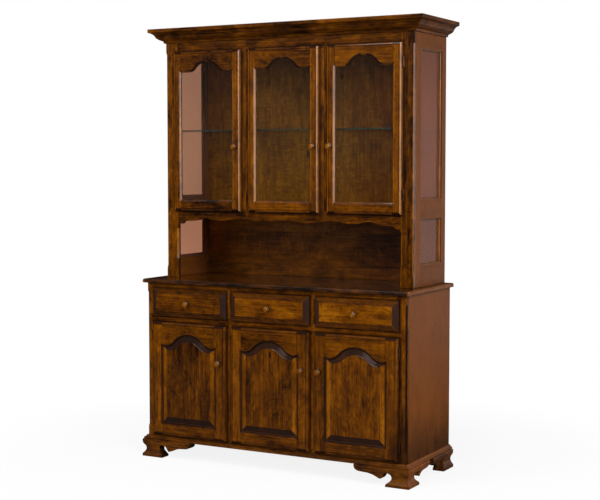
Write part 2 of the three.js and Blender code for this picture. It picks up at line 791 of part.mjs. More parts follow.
// From one turning point of the valance to the next, level at both
function easeTo(shape, from, to) {
  const middle = (from[0] + to[0]) / 2;
  shape.bezierCurveTo(middle, from[1], middle, to[1], to[0], to[1]);
}

function hutchFaceFrame() {
  const ends = worktopHeight + openSpaceHeight;
  const turns = scallopShares.map(([along, up]) => [along * openHalf, ends + up * valanceRise]);
  const mirrored = turns.slice(1).reverse().map(([x, z]) => [-x, z]);
  const edge = [...mirrored, ...turns];
  const outline = new THREE.Shape();
  outline.moveTo(-hutchHalf, hutchFoot);
  outline.lineTo(-openHalf, hutchFoot);
  outline.lineTo(...edge[0]);
  edge.slice(1).forEach((turn, row) => easeTo(outline, edge[row], turn));
  outline.lineTo(openHalf, hutchFoot);
  outline.lineTo(hutchHalf, hutchFoot);
  outline.lineTo(hutchHalf, hutchTop);
  outline.lineTo(-hutchHalf, hutchTop);
  outline.closePath();
  const [low, high] = [worktopHeight + hutchChamferLowStop, crownFoot - hutchChamferHighStop];
  const [innerLow, innerHigh] = [worktopHeight + innerChamferLowStop, ends - innerChamferHighStop];
  const front = hutchSetBack;
  let frame = solid(frontBoard(outline, front, front + board));
  const half = hutchDoorWidth / 2 - lap;
  for (const column of columns) {
    const [left, right] = [column * hutchPitch - half, column * hutchPitch + half];
    frame = frame.subtract(solid(boardBetween(
      [left, front - overrun, hutchFloorTop],
      [right, front + board + overrun, hutchDoorTop - lap],
    )));
  }
  for (const side of [-1, 1]) {
    const outer = chamferCutter(side * hutchHalf, front, -side, hutchChamfer, low, high);
    const inner = chamferCutter(side * openHalf, front, side, innerChamfer, innerLow, innerHigh);
    frame = frame.subtract(solid(outer)).subtract(solid(inner));
  }
  return shell(frame);
}

// The glazed hutch side's two openings, as heights
const lowerPaneFoot = worktopHeight + sideBottomRail;
const lowerPaneTop = lowerPaneFoot + sideLowerPaneHeight;
const upperPaneFoot = lowerPaneTop + sideMiddleRail;
const upperPaneTop = crownFoot - sideTopRail;
const paneFront = hutchSetBack + board + sideFrontStile;
const paneBack = baseDepth - sideBackStile;

// A hutch side frame: two openings, one rebate behind both for the glass, and four shelf pegs
function hutchSide(side) {
  const across = [side * (hutchHalf - board), side * hutchHalf].sort((a, b) => a - b);
  let frame = solid(boardBetween([across[0], hutchFront, hutchFoot], [across[1], baseDepth, hutchTop]));
  for (const [foot, top] of [[lowerPaneFoot, lowerPaneTop], [upperPaneFoot, upperPaneTop]]) {
    frame = frame.subtract(solid(boardBetween(
      [across[0] - overrun, paneFront, foot],
      [across[1] + overrun, paneBack, top],
    )));
  }
  const pocket = [side * (hutchHalf - board - overrun), side * (hutchHalf - board + sideRebateDepth)]
    .sort((a, b) => a - b);
  const rebate = boardBetween(
    [pocket[0], paneFront - sideRebate, lowerPaneFoot - sideRebate],
    [pocket[1], paneBack + sideRebate, upperPaneTop + sideRebate],
  );
  const pegTop = glassShelfTop - glassShelfThickness - seatGap;
  frame = frame.subtract(solid(rebate));
  const pegPlaces = [hutchFront + hutchPegInset, insideBack - hutchPegInset];
  return shell(pegPlaces.reduce((joined, y) => {
    return joined.add(shelfPeg(side, hutchHalf - board, y, pegTop));
  }, frame));
}

// The side glass is one sheet behind both openings and the rail between them
function sidePane(side) {
  const grow = sideRebate - seatGap;
  const outer = hutchHalf - board + sideRebateDepth - seatGap;
  const across = [side * outer, side * (outer - glassThickness)].sort((a, b) => a - b);
  return boardBetween(
    [across[0], paneFront - grow, lowerPaneFoot - grow],
    [across[1], paneBack + grow, upperPaneTop + grow],
  );
}

function hutchFloor() {
  return spanningBoard(hutchInner, hutchFront, insideBack, hutchFloorTop - board, hutchFloorTop);
}

function hutchTopBoard() {
  return spanningBoard(hutchInner, hutchFront, insideBack, hutchTop - board, hutchTop);
}

function hutchBack() {
  return spanningBoard(hutchInner, backFace, backFace + backBoard, hutchFoot, hutchTop);
}

function backsplash() {
  const front = insideBack - backsplashThickness;
  return spanningBoard(hutchInner, front, insideBack, hutchFoot, worktopHeight + backsplashHeight);
}

function glassShelf() {
  const half = hutchHalf - board - glassShelfEndPlay;
  const [front, back] = [hutchFront + glassShelfFrontInset, insideBack - glassShelfBackInset];
  return spanningBoard(half, front, back, glassShelfTop - glassShelfThickness, glassShelfTop);
}

// The crown: a small foot and cove, a slightly swelling slope, a fillet, a second cove and a square lip
function crownMoulding() {
  const profile = new THREE.Path();
  profile.moveTo(seatGap, crownFoot);
  profile.lineTo(crownFootReach, crownFoot);
  profile.lineTo(crownFootReach, crownFoot + crownFootHeight);
  const [step, waist] = [crownFoot + crownStepHeight, crownFoot + crownWaistHeight];
  profile.quadraticCurveTo(crownFootReach, step, crownStepReach, step);
  const [slopeOut, slopeUp] = [(crownStepReach + crownWaistReach) / 2, (step + waist) / 2];
  profile.quadraticCurveTo(slopeOut + crownSwell, slopeUp - crownSwell, crownWaistReach, waist);
  profile.lineTo(crownWaistReach, waist + crownFillet);
  const bodyTop = crownFoot + crownBodyHeight;
  const [coveOut, coveUp] = [(crownWaistReach + crownBodyReach) / 2, (waist + crownFillet + bodyTop) / 2];
  profile.quadraticCurveTo(coveOut - crownHollow, coveUp + crownHollow, crownBodyReach, bodyTop);
  profile.lineTo(crownReach, totalHeight - crownLipHeight);
  profile.lineTo(crownReach, totalHeight);
  profile.lineTo(seatGap, totalHeight);
  return wrapAround(profilePoints(profile), hutchHalf, hutchSetBack, baseDepth);
}

// A door's frame, filling, knob and two hinges, about the middle of its column
function doorGroup(name, tier, column) {
  const hingeSide = column > 0 ? 1 : -1;
  const half = tier.width / 2;
  const group = new THREE.Group();
  const heights = [tier.foot + tier.hingeInset, tier.top - tier.hingeInset];
  group.add(
    piece(`${name}_frame`, tier.frame(hingeSide, heights), frontWood),
    piece(`${name}_${tier.fillingName}`, tier.filling(), tier.fillingFinish),
    placedKnob(`${name}_knob`, -hingeSide * (half - tier.stile / 2), tier.knobHeight),
    ...hingesOf(name, half, hingeSide, heights),
  );
  group.position.set(column * tier.pitch, tier.face, 0);
  return group;
}

const baseTier = {
  width: frontWidth,
  pitch: frontPitch,
  face: 0,
  foot: doorFoot,
  top: doorTop,
  stile: baseStile,
  hingeInset: baseHingeInset,
  knobHeight: doorTop - baseKnobDrop,
  frame: baseDoorFrame,
  filling: raisedPanel,
  fillingName: 'panel',
  fillingFinish: frontWood,
};

const hutchTier = {
  width: hutchDoorWidth,
  pitch: hutchPitch,
  face: hutchSetBack,
  foot: hutchDoorFoot,
  top: hutchDoorTop,
  stile: hutchStile,
  hingeInset: hutchHingeInset,
  knobHeight: hutchDoorFoot + hutchKnobRise,
  frame: hutchDoorFrame,
  filling: doorGlass,
  fillingName: 'glass',
  fillingFinish: clearGlass,
};

function drawerGroup(name, column) {
  const group = new THREE.Group();
  group.add(
    piece(name, drawer(), frontWood),
    placedKnob(`${name}_knob`, 0, (drawerFoot + drawerTop) / 2),
  );
  group.position.x = column * frontPitch;
  return group;
}

const base = new THREE.Group();
base.add(
  piece('base_left_side', baseSide(-1), caseWood),
  piece('base_right_side', baseSide(1), caseWood),
  piece('base_bottom', baseBottom(), insideWood),
  piece('base_back', baseBack(), insideWood),
  piece('base_shelf', baseShelf(), insideWood),
  piece('base_face_frame', baseFaceFrame(), caseWood),
  piece('drawer_deck', drawerDeck(), insideWood),
  piece('worktop', worktop(), worktopWood),
  piece('base_moulding', baseMoulding(), caseWood),
  piece('front_left_foot', frontFoot(-1), caseWood),
  piece('front_right_foot', frontFoot(1), caseWood),
  piece('rear_left_foot', rearFoot(-1), caseWood),
  piece('rear_right_foot', rearFoot(1), caseWood),
);

const hutch = new THREE.Group();
hutch.add(
  piece('hutch_left_side', hutchSide(-1), caseWood),
  piece('hutch_right_side', hutchSide(1), caseWood),
  piece('hutch_left_pane', sidePane(-1), clearGlass),
  piece('hutch_right_pane', sidePane(1), clearGlass),
  piece('hutch_face_frame', hutchFaceFrame(), caseWood),
  piece('hutch_floor', hutchFloor(), insideWood),
  piece('hutch_top', hutchTopBoard(), insideWood),
  piece('hutch_back', hutchBack(), insideWood),
  piece('backsplash', backsplash(), caseWood),
  piece('glass_shelf', glassShelf(), clearGlass),
  piece('crown_moulding', crownMoulding(), caseWood),
);

// The whole cupboard, with its origin on the floor under the middle of its outside box
const cupboard = new THREE.Group();
cupboard.name = 'step_back_cupboard';
cupboard.add(base, hutch);
columns.forEach((column, at) => {
  cupboard.add(
    drawerGroup(`${columnNames[at]}_drawer`, column),
    doorGroup(`base_${columnNames[at]}_door`, baseTier, column),
    doorGroup(`hutch_${columnNames[at]}_door`, hutchTier, column),
  );
});
cupboard.position.y = (frontReach - baseDepth) / 2;

export default cupboard;
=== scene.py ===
import json
import math

import bpy
import numpy as np
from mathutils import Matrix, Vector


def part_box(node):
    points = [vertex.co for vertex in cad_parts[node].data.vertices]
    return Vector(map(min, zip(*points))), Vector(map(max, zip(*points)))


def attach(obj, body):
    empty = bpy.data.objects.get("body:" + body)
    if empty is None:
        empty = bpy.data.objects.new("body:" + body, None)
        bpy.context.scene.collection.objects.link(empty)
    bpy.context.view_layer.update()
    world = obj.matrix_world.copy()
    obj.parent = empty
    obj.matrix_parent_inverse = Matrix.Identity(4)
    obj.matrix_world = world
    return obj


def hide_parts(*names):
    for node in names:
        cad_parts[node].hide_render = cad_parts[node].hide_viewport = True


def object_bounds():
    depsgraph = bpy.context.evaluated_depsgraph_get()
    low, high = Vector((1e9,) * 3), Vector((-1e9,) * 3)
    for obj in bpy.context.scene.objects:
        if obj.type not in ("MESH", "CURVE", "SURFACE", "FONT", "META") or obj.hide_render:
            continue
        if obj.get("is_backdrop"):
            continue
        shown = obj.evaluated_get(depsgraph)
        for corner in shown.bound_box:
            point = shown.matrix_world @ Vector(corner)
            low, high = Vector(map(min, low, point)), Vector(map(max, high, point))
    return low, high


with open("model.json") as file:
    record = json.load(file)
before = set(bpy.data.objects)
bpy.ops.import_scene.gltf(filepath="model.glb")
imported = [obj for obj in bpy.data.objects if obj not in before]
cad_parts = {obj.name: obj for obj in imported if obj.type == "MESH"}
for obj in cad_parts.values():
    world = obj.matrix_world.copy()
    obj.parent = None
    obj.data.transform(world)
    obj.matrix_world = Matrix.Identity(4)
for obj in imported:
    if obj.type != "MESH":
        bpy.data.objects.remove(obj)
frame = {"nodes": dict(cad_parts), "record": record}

cad_box = [list(corner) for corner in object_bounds()]

# Camera: eye height a little over the worktop, turned to the right front corner, as the photograph's.
lens = bpy.data.cameras.new("photo_lens")
lens.sensor_width = 36.0
lens.lens = 79.06
camera = bpy.data.objects.new("photo_camera", lens)
camera.location = (3.1198, -5.6059, 1.4668)
camera.rotation_euler = (math.radians(90.0 - 3.76), 0.0, math.radians(28.813))
bpy.context.scene.collection.objects.link(camera)
bpy.context.scene.camera = camera
bpy.context.scene.view_settings.view_transform = "Standard"

# The base case: solid maple boards with a frame of stiles and rails glued to their front edges. Maple takes a
# wiping stain unevenly, in clouds and streaks along the grain, its end grain turns nearly black, and a dark
# glaze stays in the joints and round the doors, which painted shade darkens further, as it does under the
# worktop. The sides are redder and lighter, wiped even: partly a redder stain, partly a painted sheen.
FACE = -0.2246                                       # the face frame's front, along Y
BASE_PITCH = 0.457                                   # from door to door
BASE_DOOR = {"half": 0.212, "low": 0.118, "high": 0.680}
DRAWER_FRONT = {"half": 0.212, "low": 0.711, "high": 0.848}
OUTER_STILE = 0.659                                  # where the outer stiles begin, from the middle
TOP_RAIL, LOW_RAIL = 0.838, 0.128                    # the top rail's low edge and the low rail's top edge
MIDDLE_RAIL, HALF_MIDDLE_RAIL = 0.6955, 0.0255
STAIN = [(0.0, (0.0050, 0.0018, 0.0008)), (0.15, (0.0150, 0.0045, 0.0010)), (0.33, (0.040, 0.0112, 0.0009)),
         (0.52, (0.076, 0.0212, 0.0006)), (0.72, (0.122, 0.0350, 0.0005)), (0.88, (0.165, 0.0510, 0.0007)),
         (1.0, (0.220, 0.0740, 0.0020))]
# SIDE_STAIN_AND_SHEEN colours the sides: partly their redder stain, partly a painted sheen of reflected
# light.
SIDE_STAIN_AND_SHEEN = [(0.0, (0.032, 0.0110, 0.0030)), (0.35, (0.112, 0.0330, 0.0052)), (0.55, (0.158, 0.0455, 0.0072)),
        (0.75, (0.184, 0.0530, 0.0085)), (1.0, (0.250, 0.0760, 0.0140))]
# A painted sheen: the grey that faces cut across the grain take in place of their reflection.
PAINTED_SHEEN_GREY = (0.026, 0.0145, 0.0125, 1.0)


class Mark:
    """A value that varies over a surface. A sum written with marks becomes Math nodes of their material."""

    def __init__(self, tree, socket):
        self.tree, self.socket = tree, socket

    def node(self, kind, *values, clamp=False):
        feeds = dict(enumerate(values))
        return Mark(self.tree, place_node(self.tree, "ShaderNodeMath", feeds, operation=kind,
                                          use_clamp=clamp).outputs[0])

    def __add__(self, other):
        return self.node("ADD", self, other)

    def __sub__(self, other):
        return self.node("SUBTRACT", self, other)

    def __rsub__(self, other):
        return self.node("SUBTRACT", other, self)

    def __mul__(self, other):
        return self.node("MULTIPLY", self, other)

    def __truediv__(self, other):
        return self.node("DIVIDE", self, other)

    def __gt__(self, other):
        return self.node("GREATER_THAN", self, other)

    def __lt__(self, other):
        return self.node("LESS_THAN", self, other)

    def __abs__(self):
        return self.node("ABSOLUTE", self)

    def __round__(self):
        return self.node("ROUND", self)

    def ramp(self, low, high):
        """0 below low, 1 above high and a smooth step between them."""
        feeds = {"Value": self, "From Min": low, "From Max": high}
        return Mark(self.tree, place_node(self.tree, "ShaderNodeMapRange", feeds,
                                          interpolation_type="SMOOTHSTEP").outputs[0])


def feed(tree, node, feeds):
    """Sets or links a node's inputs, in order of name or number."""
    for name, value in feeds.items():
        value = value.socket if isinstance(value, Mark) else value
        if isinstance(value, bpy.types.NodeSocket):
            tree.links.new(value, node.inputs[name])
        else:
            node.inputs[name].default_value = value


def place_node(tree, kind, feeds=(), **settings):
    """A shader node with its settings and inputs."""
    made = tree.nodes.new(kind)
    for name, value in settings.items():
        setattr(made, name, value)
    feed(tree, made, dict(feeds))
    return made


def largest(first, *others):
    """The largest of some marks."""
    for other in others:
        first = first.node("MAXIMUM", first, other)
    return first


def least(first, other):
    """The lesser of two marks."""
    return first.node("MINIMUM", first, other)


def marks_of(tree, vector):
    """A vector's X, Y and Z as marks."""
    return [Mark(tree, socket) for socket in place_node(tree, "ShaderNodeSeparateXYZ", {0: vector}).outputs]


def blended(tree, share, one, other, kind="RGBA"):
    """One colour, vector or value that turns into another as share goes from 0 to 1."""
    first, given = {"FLOAT": (2, 0), "VECTOR": (4, 1), "RGBA": (6, 2)}[kind]
    feeds = {"Factor": share, first: one, first + 1: other}
    return place_node(tree, "ShaderNodeMix", feeds, data_type=kind).outputs[given]


def stretched(tree, place, stretch):
    """The place with each axis stretched."""
    return place_node(tree, "ShaderNodeVectorMath", {0: place, 1: stretch}, operation="MULTIPLY").outputs[0]


def noise_of(tree, place, stretch, detail=3.0, wobble=0.0):
    """Noise whose cells are 1 / stretch metres along each axis of the board."""
    feeds = {"Vector": stretched(tree, place, stretch), "Scale": 1.0, "Detail": detail, "Roughness": 0.6,
             "Distortion": wobble}
    return Mark(tree, place_node(tree, "ShaderNodeTexNoise", feeds).outputs[0])


def rare_spots(tree, place, stretch, wide, core, least_tag):
    """Round spots in one of many cells, full inside core and gone at wide."""
    spread = stretched(tree, place, stretch)
    cells = place_node(tree, "ShaderNodeTexVoronoi", {"Vector": spread, "Scale": 1.0}, feature="F1")
    tag = place_node(tree, "ShaderNodeSeparateColor", {0: cells.outputs["Color"]}).outputs[0]
    return Mark(tree, cells.outputs["Distance"]).ramp(wide, core) * (Mark(tree, tag) > least_tag)


def group_with(name, kind, takes, gives):
    """An empty node group with its inputs and outputs made, and its two end nodes."""
    group = bpy.data.node_groups.new(name, kind)
    for way, sockets in (("INPUT", takes), ("OUTPUT", gives)):
        for label, socket in sockets:
            group.interface.new_socket(label, in_out=way, socket_type="NodeSocket" + socket)
    return group, group.nodes.new("NodeGroupInput"), group.nodes.new("NodeGroupOutput")


def stained_figure():
    """How deep the stain lies in a board whose grain runs along Z, before its colour. Boards glued side by
    side differ; each has clouds, streaks, arched growth rings, curl, flecks and knots."""
    group, takes, gives = group_with(
        "stained_figure", "ShaderNodeTree",
        [("Place", "Vector"), ("Board Width", "Float"), ("Which", "Float"), ("Curl", "Float")],
        [("Depth", "Float"), ("Knot", "Float"), ("Height", "Float")])
    place = takes.outputs[0]
    wide, which, curly = [Mark(group, socket) for socket in takes.outputs[1:4]]
    across = marks_of(group, place)[0] / wide + which
    board = across.node("FLOOR", across)
    tag = board.node("MULTIPLY_ADD", board, 1.37, which)
    tone, shift = place_node(group, "ShaderNodeTexWhiteNoise", {"W": tag}, noise_dimensions="1D").outputs
    spot = place_node(group, "ShaderNodeVectorMath", {0: shift, 1: (9.0, 9.0, 9.0), 2: place},
                      operation="MULTIPLY_ADD").outputs[0]
    cloud = noise_of(group, spot, (9.0, 9.0, 5.0), 3.0, 0.6)
    patch = noise_of(group, spot, (40.0, 40.0, 19.0), 4.0, 0.9)
    streak = noise_of(group, spot, (165.0, 165.0, 4.2), 3.0)
    grain = noise_of(group, spot, (420.0, 420.0, 11.0), 2.0)
    fine = noise_of(group, spot, (1000.0, 1000.0, 16.0), 2.0)
    curl = noise_of(group, spot, (16.0, 16.0, 95.0), 1.0, 0.5)
    bend = noise_of(group, spot, (5.0, 5.0, 1.1), 2.0)
    phase = bend * 70.0 + (bend * 0.42 + marks_of(group, spot)[0]) * 520.0
    rings = phase.node("SINE", phase)
    depth = cloud * 1.05 - 0.025
    for part, share in ((patch, 1.0), (streak, 0.85), (grain, 0.5), (fine, 0.3), (Mark(group, tone), 0.24)):
        depth = depth + (part * share - 0.5 * share)
    where = noise_of(group, spot, (6.0, 6.0, 2.4), 1.0).ramp(0.46, 0.62)
    depth = (curl - 0.5) * where * curly * 2.4 + rings * 0.05 + depth
    knot = rare_spots(group, spot, (7.0, 7.0, 3.4), 0.085, 0.015, 0.62)
    fleck = rare_spots(group, spot, (60.0, 60.0, 36.0), 0.28, 0.10, 0.72)
    fleck = fleck * noise_of(group, spot, (8.0, 8.0, 5.0), 1.0).ramp(0.50, 0.60) * 0.62
    feed(group, gives, {"Depth": depth.node("ADD", depth, 0.0, clamp=True), "Knot": largest(knot, fleck),
                        "Height": streak * 0.5 + fine * 0.5})
    return group


figure_group = stained_figure()


def colour_of(tree, depth, stops):
    """The stain's colour at each depth, from dark where it pools to light where it lies thin."""
    ramp = place_node(tree, "ShaderNodeValToRGB", {0: depth})
    while len(ramp.color_ramp.elements) < len(stops):
        ramp.color_ramp.elements.new(1.0)
    for element, (at, colour) in zip(ramp.color_ramp.elements, stops):
        element.position = at
        element.color = (*colour, 1.0)
    return ramp.outputs[0]


def finish_of(name, colour=None, rough=0.3, metal=0.0, coat=0.0, sheen=0.5, through=0.0, ior=1.45,
              coat_rough=0.08):
    """A new material and its Principled shader."""
    made = bpy.data.materials.new(name)
    made.use_nodes = True
    tree = made.node_tree
    tree.nodes.clear()
    skin = place_node(tree, "ShaderNodeBsdfPrincipled", {
        "Roughness": rough, "Metallic": metal, "Coat Weight": coat, "Coat Roughness": coat_rough,
        "Specular IOR Level": sheen, "Transmission Weight": through, "IOR": ior})
    if colour:
        skin.inputs["Base Color"].default_value = (*colour, 1.0)
    place_node(tree, "ShaderNodeOutputMaterial", {0: skin.outputs[0]})
    return made, tree, skin


def turned_grain(tree, along, place):
    """The place on the board, turned so that its grain, along X, Y or Z, runs along Z."""
    turn = {"z": (0.0, 0.0, 0.0), "x": (0.0, -math.pi / 2, 0.0), "y": (math.pi / 2, 0.0, 0.0)}[along]
    return place_node(tree, "ShaderNodeMapping", {"Vector": place, "Rotation": turn}).outputs[0]


def wood(name, along="z", board=0.11, which=0.0, stops=STAIN, rough=0.30, coat=0.25, lift=0.0, ends=0.85,
         sheen=0.35, rails=None, cross="x", curl=0.1, contrast=1.0, flank=0.0, ledge=0.0, corner=0.0,
         rim=0.0, dull=0.0, crossed=None, painted_sheen=0.0, edge_coat=None, coat_rough=0.08):
    """Stained wood. along is the way its grain runs. rails(x, y, z) says where boards run along cross
    instead, which board a point is in, how much darker it is there, from glaze or painted shade, and how much
    lighter or darker it is rubbed or painted as light and shade; crossed is the stain of those boards. ends
    is how much darker faces cut across the grain are, painted_sheen how much painted grey sheen they take,
    ledge how much darker those are that face up or down, corner the chamfers between the front and the sides,
    rim how much painted shade darkens what faces away from the front; flank is how much lighter faces to the
    left or right are, and dull how much rougher all but the top is. edge_coat is the varnish on what doesn't
    face the front squarely, where it gathers."""
    made, tree, skin = finish_of(name, rough=rough, coat=coat, sheen=sheen, coat_rough=coat_rough)
    here = place_node(tree, "ShaderNodeTexCoord")
    place = here.outputs["Object"]
    facing = dict(zip("xyz", marks_of(tree, here.outputs["Normal"])))
    end, on_board, line, rubbed = abs(facing[along]), turned_grain(tree, along, place), 0.0, 0.0
    if rails:
        mask, number, line, rubbed = rails(*marks_of(tree, place))
        on_board = blended(tree, mask, on_board, turned_grain(tree, cross, place), "VECTOR")
        end = Mark(tree, blended(tree, mask, end, abs(facing[cross]), "FLOAT"))
        which = number + which
    figure = place_node(tree, "ShaderNodeGroup", {
        "Place": on_board, "Board Width": board, "Which": which, "Curl": curl}, node_tree=figure_group)
    height = Mark(tree, figure.outputs["Height"])
    depth = Mark(tree, figure.outputs["Depth"]) * contrast + (0.5 - 0.5 * contrast + lift) + rubbed
    if flank:
        depth = abs(facing["x"]).ramp(0.05, 0.15) * flank + depth
    cut_across = end.ramp(0.03, 0.12)
    darker = largest(cut_across * ends, Mark(tree, figure.outputs["Knot"]) * 0.8, line)
    if ledge:
        darker = largest(darker, abs(facing["z"]).ramp(0.03, 0.12) * ledge)
    if corner:
        darker = largest(darker, abs(facing["x"] * facing["y"]).ramp(0.25, 0.42) * corner)
    # rim: painted shade on what faces away from the front.
    if rim:
        darker = largest(darker, abs(facing["y"]).ramp(0.92, 0.5) * rim)
    depth = depth * (1.0 - darker)
    colour = colour_of(tree, depth, stops)
    if crossed:
        colour = blended(tree, mask, colour, colour_of(tree, depth, crossed))
    # painted_sheen: a painted grey sheen on faces cut across the grain.
    if painted_sheen:
        colour = blended(tree, cut_across * painted_sheen, colour, PAINTED_SHEEN_GREY)
    roughness = height * 0.16 + (rough - 0.08)
    if dull:
        roughness = roughness + facing["z"].ramp(0.9, 0.6) * dull
    bump = place_node(tree, "ShaderNodeBump", {"Height": height, "Strength": 0.06, "Distance": 0.0006})
    feed(tree, skin, {"Base Color": colour, "Roughness": roughness, "Normal": bump.outputs[0]})
    if edge_coat is not None:
        turned_away = abs(facing["y"]).ramp(0.97, 0.90)
        feed(tree, skin, {"Coat Weight": turned_away * (edge_coat - coat) + coat})
    return made


def softened_edges():
    """A modifier tree that shades a piece's curves smooth but keeps edges sharper than an angle."""
    group, takes, gives = group_with(
        "softened_edges", "GeometryNodeTree", [("Geometry", "Geometry"), ("Sharp Above", "Float")],
        [("Geometry", "Geometry")])
    shape, limit = takes.outputs[:2]
    angle = place_node(group, "GeometryNodeInputMeshEdgeAngle").outputs[0]
    sharp = place_node(group, "FunctionNodeCompare", {0: angle, 1: limit}, operation="GREATER_THAN")
    smooth = place_node(group, "GeometryNodeSetShadeSmooth", {0: shape, 2: True}, domain="FACE")
    kept = place_node(group, "GeometryNodeSetShadeSmooth",
                      {0: smooth.outputs[0], 1: sharp.outputs[0], 2: False}, domain="EDGE")
    group.links.new(kept.outputs[0], gives.inputs[0])
    return group, group.interface.items_tree["Sharp Above"].identifier


edge_group, edge_limit = softened_edges()


def dress(material, *names, turn=30.0):
    """Gives CAD nodes their material. Takes their edges sharper than turn degrees off, as sanding does, and
    shades the rest smooth."""
    for name in names:
        held = frame["nodes"][name]
        if not held.material_slots:
            held.data.materials.append(material)
        held.material_slots[0].link = "OBJECT"
        held.material_slots[0].material = material
        weld = held.modifiers.new("joined", "WELD")
        weld.merge_threshold = 0.00001
        flat = held.modifiers.new("flats", "DECIMATE")
        flat.decimate_type = "DISSOLVE"
        flat.angle_limit = math.radians(0.5)
        sanded = held.modifiers.new("sanded", "BEVEL")
        sanded.width = 0.0012
        sanded.segments = 2
        sanded.limit_method = "ANGLE"
        sanded.angle_limit = math.radians(turn)
        sanded.use_clamp_overlap = True
        shade = held.modifiers.new("shaded", "NODES")
        shade.node_group = edge_group
        shade[edge_limit] = math.radians(turn)
        even = held.modifiers.new("even", "WEIGHTED_NORMAL")
        even.keep_sharp = True


def in_column(x, pitch):
    """The way from the middle line of the nearest of three columns."""
    column = round(x / pitch)
    return x - largest(least(column, 1.0), -1.0) * pitch


def off_fronts(x, z, pitch, half, low, high):
    """How far a point lies outside the nearest of three doors or drawers of one row; below 0 is within it."""
    return largest(abs(in_column(x, pitch)) - half, low - z, z - high)


def glaze_and_shade_beside(gap, reach, dark):
    """Glaze and painted shade beside a door or drawer, which stands proud of the frame: dark at its edge,
    gone at the reach.
    """
    return gap.ramp(reach, 0.0) * dark


def joint_line(off, dark, narrow=0.0003, wide=0.0010):
    """The dark line of glaze in a joint: full up to narrow on each side of it and gone at wide."""
    return (1.0 - abs(off).ramp(narrow, wide)) * dark


def low_corner(x, z):
    """The base is darker in its right front corner, towards its foot."""
    return z.ramp(0.46, 0.14) * 0.62 * x.ramp(0.575, 0.66)


def base_frame_rails(x, y, z):
    """The base face frame: rails run between the outer stiles, the short inner stiles between the rails."""
    middle = abs(z - MIDDLE_RAIL) < HALF_MIDDLE_RAIL
    across = largest(z > TOP_RAIL, middle, z < LOW_RAIL)
    mask = (abs(x) < OUTER_STILE) * across
    number = mask * 3.1 + (middle * 5.0 + round(x / BASE_PITCH))
    gap = least(off_fronts(x, z, BASE_PITCH, **BASE_DOOR), off_fronts(x, z, BASE_PITCH, **DRAWER_FRONT))
    # Painted shadow under the worktop, and painted shade with glaze beside the doors and drawers.
    worktop_shadow = z.ramp(0.856, 0.868) * 0.3
    dark = largest(joint_line(abs(x) - OUTER_STILE, across * 0.7), worktop_shadow, glaze_and_shade_beside(gap, 0.016, 0.62),
                   low_corner(x, z))
    return mask, number, dark, 0.0


def darker_towards_feet(x, y, z):
    """The base sides grow darker towards the feet."""
    return 0.0, 0.0, 0.0, z.ramp(0.36, 0.11) * -0.38


dress(wood("side_wood", "z", board=0.105, which=2.0, stops=SIDE_STAIN_AND_SHEEN, rough=0.42, coat=0.0, sheen=0.10,
           contrast=0.42, rails=darker_towards_feet), "base_left_side", "base_right_side")
dress(wood("face_frame_wood", "z", board=0.5, which=4.0, lift=0.05, coat=0.3, edge_coat=0.0, sheen=0.05,
           corner=0.86, rails=base_frame_rails), "base_face_frame")
dress(wood("inside_wood", "x", board=0.16, which=6.0, rough=0.45, coat=0.0, lift=-0.1),
      "base_bottom", "base_shelf", "drawer_deck")
dress(wood("back_wood", "z", board=0.2, which=8.0, rough=0.5, coat=0.0, lift=-0.08), "base_back")

# Feet and base moulding: the ogee is run on a long blank, which is then cut, mitred and sawn to the scroll,
# so its grain runs along the front and along the sides. The pieces are glued and screwed up under the case.
MOULDING_CORNER = (0.708, FACE)                      # where the mitre's line meets the case's corner


def mitred(corner, side_tone):
    """A moulding's runs: along the front, and along the sides past the mitres at the corners."""
    def rails(x, y, z):
        aside, ahead = abs(x) - corner[0], corner[1] - y
        side = aside > ahead
        return side, side * 2.0, joint_line(aside - ahead, 0.5, 0.0004, 0.0014), side * side_tone
    return rails


dress(wood("moulding_wood", "x", board=0.5, which=11.0, lift=0.06, coat=0.35, sheen=0.12, ends=0.4, cross="y",
           crossed=SIDE_STAIN_AND_SHEEN, rails=mitred(MOULDING_CORNER, -0.05)), "base_moulding", "front_left_foot",
      "front_right_foot")
# The rear feet are darkened as painted shade.
dress(wood("rear_foot_wood_painted_shade", "y", board=0.5, which=12.0, stops=SIDE_STAIN_AND_SHEEN, lift=-0.24, coat=0.3, sheen=0.2,
           ends=0.3), "rear_left_foot", "rear_right_foot")

# Worktop: three wide maple boards glued edge to edge and rubbed out to a higher gloss than the case. Its ends
# are redder and lighter, partly stain and partly a painted sheen; to the right its top carries a painted
# shadow of the hutch's side and its front edge a painted sheen. It is screwed down from inside the case.
WORKTOP_END = (0.714, 0.720)                         # the ends' colour comes in here, along X
WORKTOP_FRONT = (-0.231, -0.2365)                    # and the front edge's here, along Y


def worktop_tones_and_shade(x, y, z):
    """The worktop's ends are redder and lighter than its top, partly as a painted sheen. To the right the top
    grows darker, a painted shadow of the hutch's right side, and the front edge lighter, a painted sheen.
    """
    end, front = abs(x).ramp(*WORKTOP_END), y.ramp(*WORKTOP_FRONT)
    shadow_and_sheen_to_right = x.ramp(-0.1, 0.45)
    return end, 0.0, 0.0, end * 0.42 + (shadow_and_sheen_to_right * (front * 0.36 - 0.18) - front * 0.15)


dress(wood("worktop_wood", "x", board=0.17, which=14.0, rough=0.10, coat=0.0, lift=-0.22, sheen=0.28,
           ends=0.0, dull=0.32, cross="x", crossed=SIDE_STAIN_AND_SHEEN, rails=worktop_tones_and_shade), "worktop")

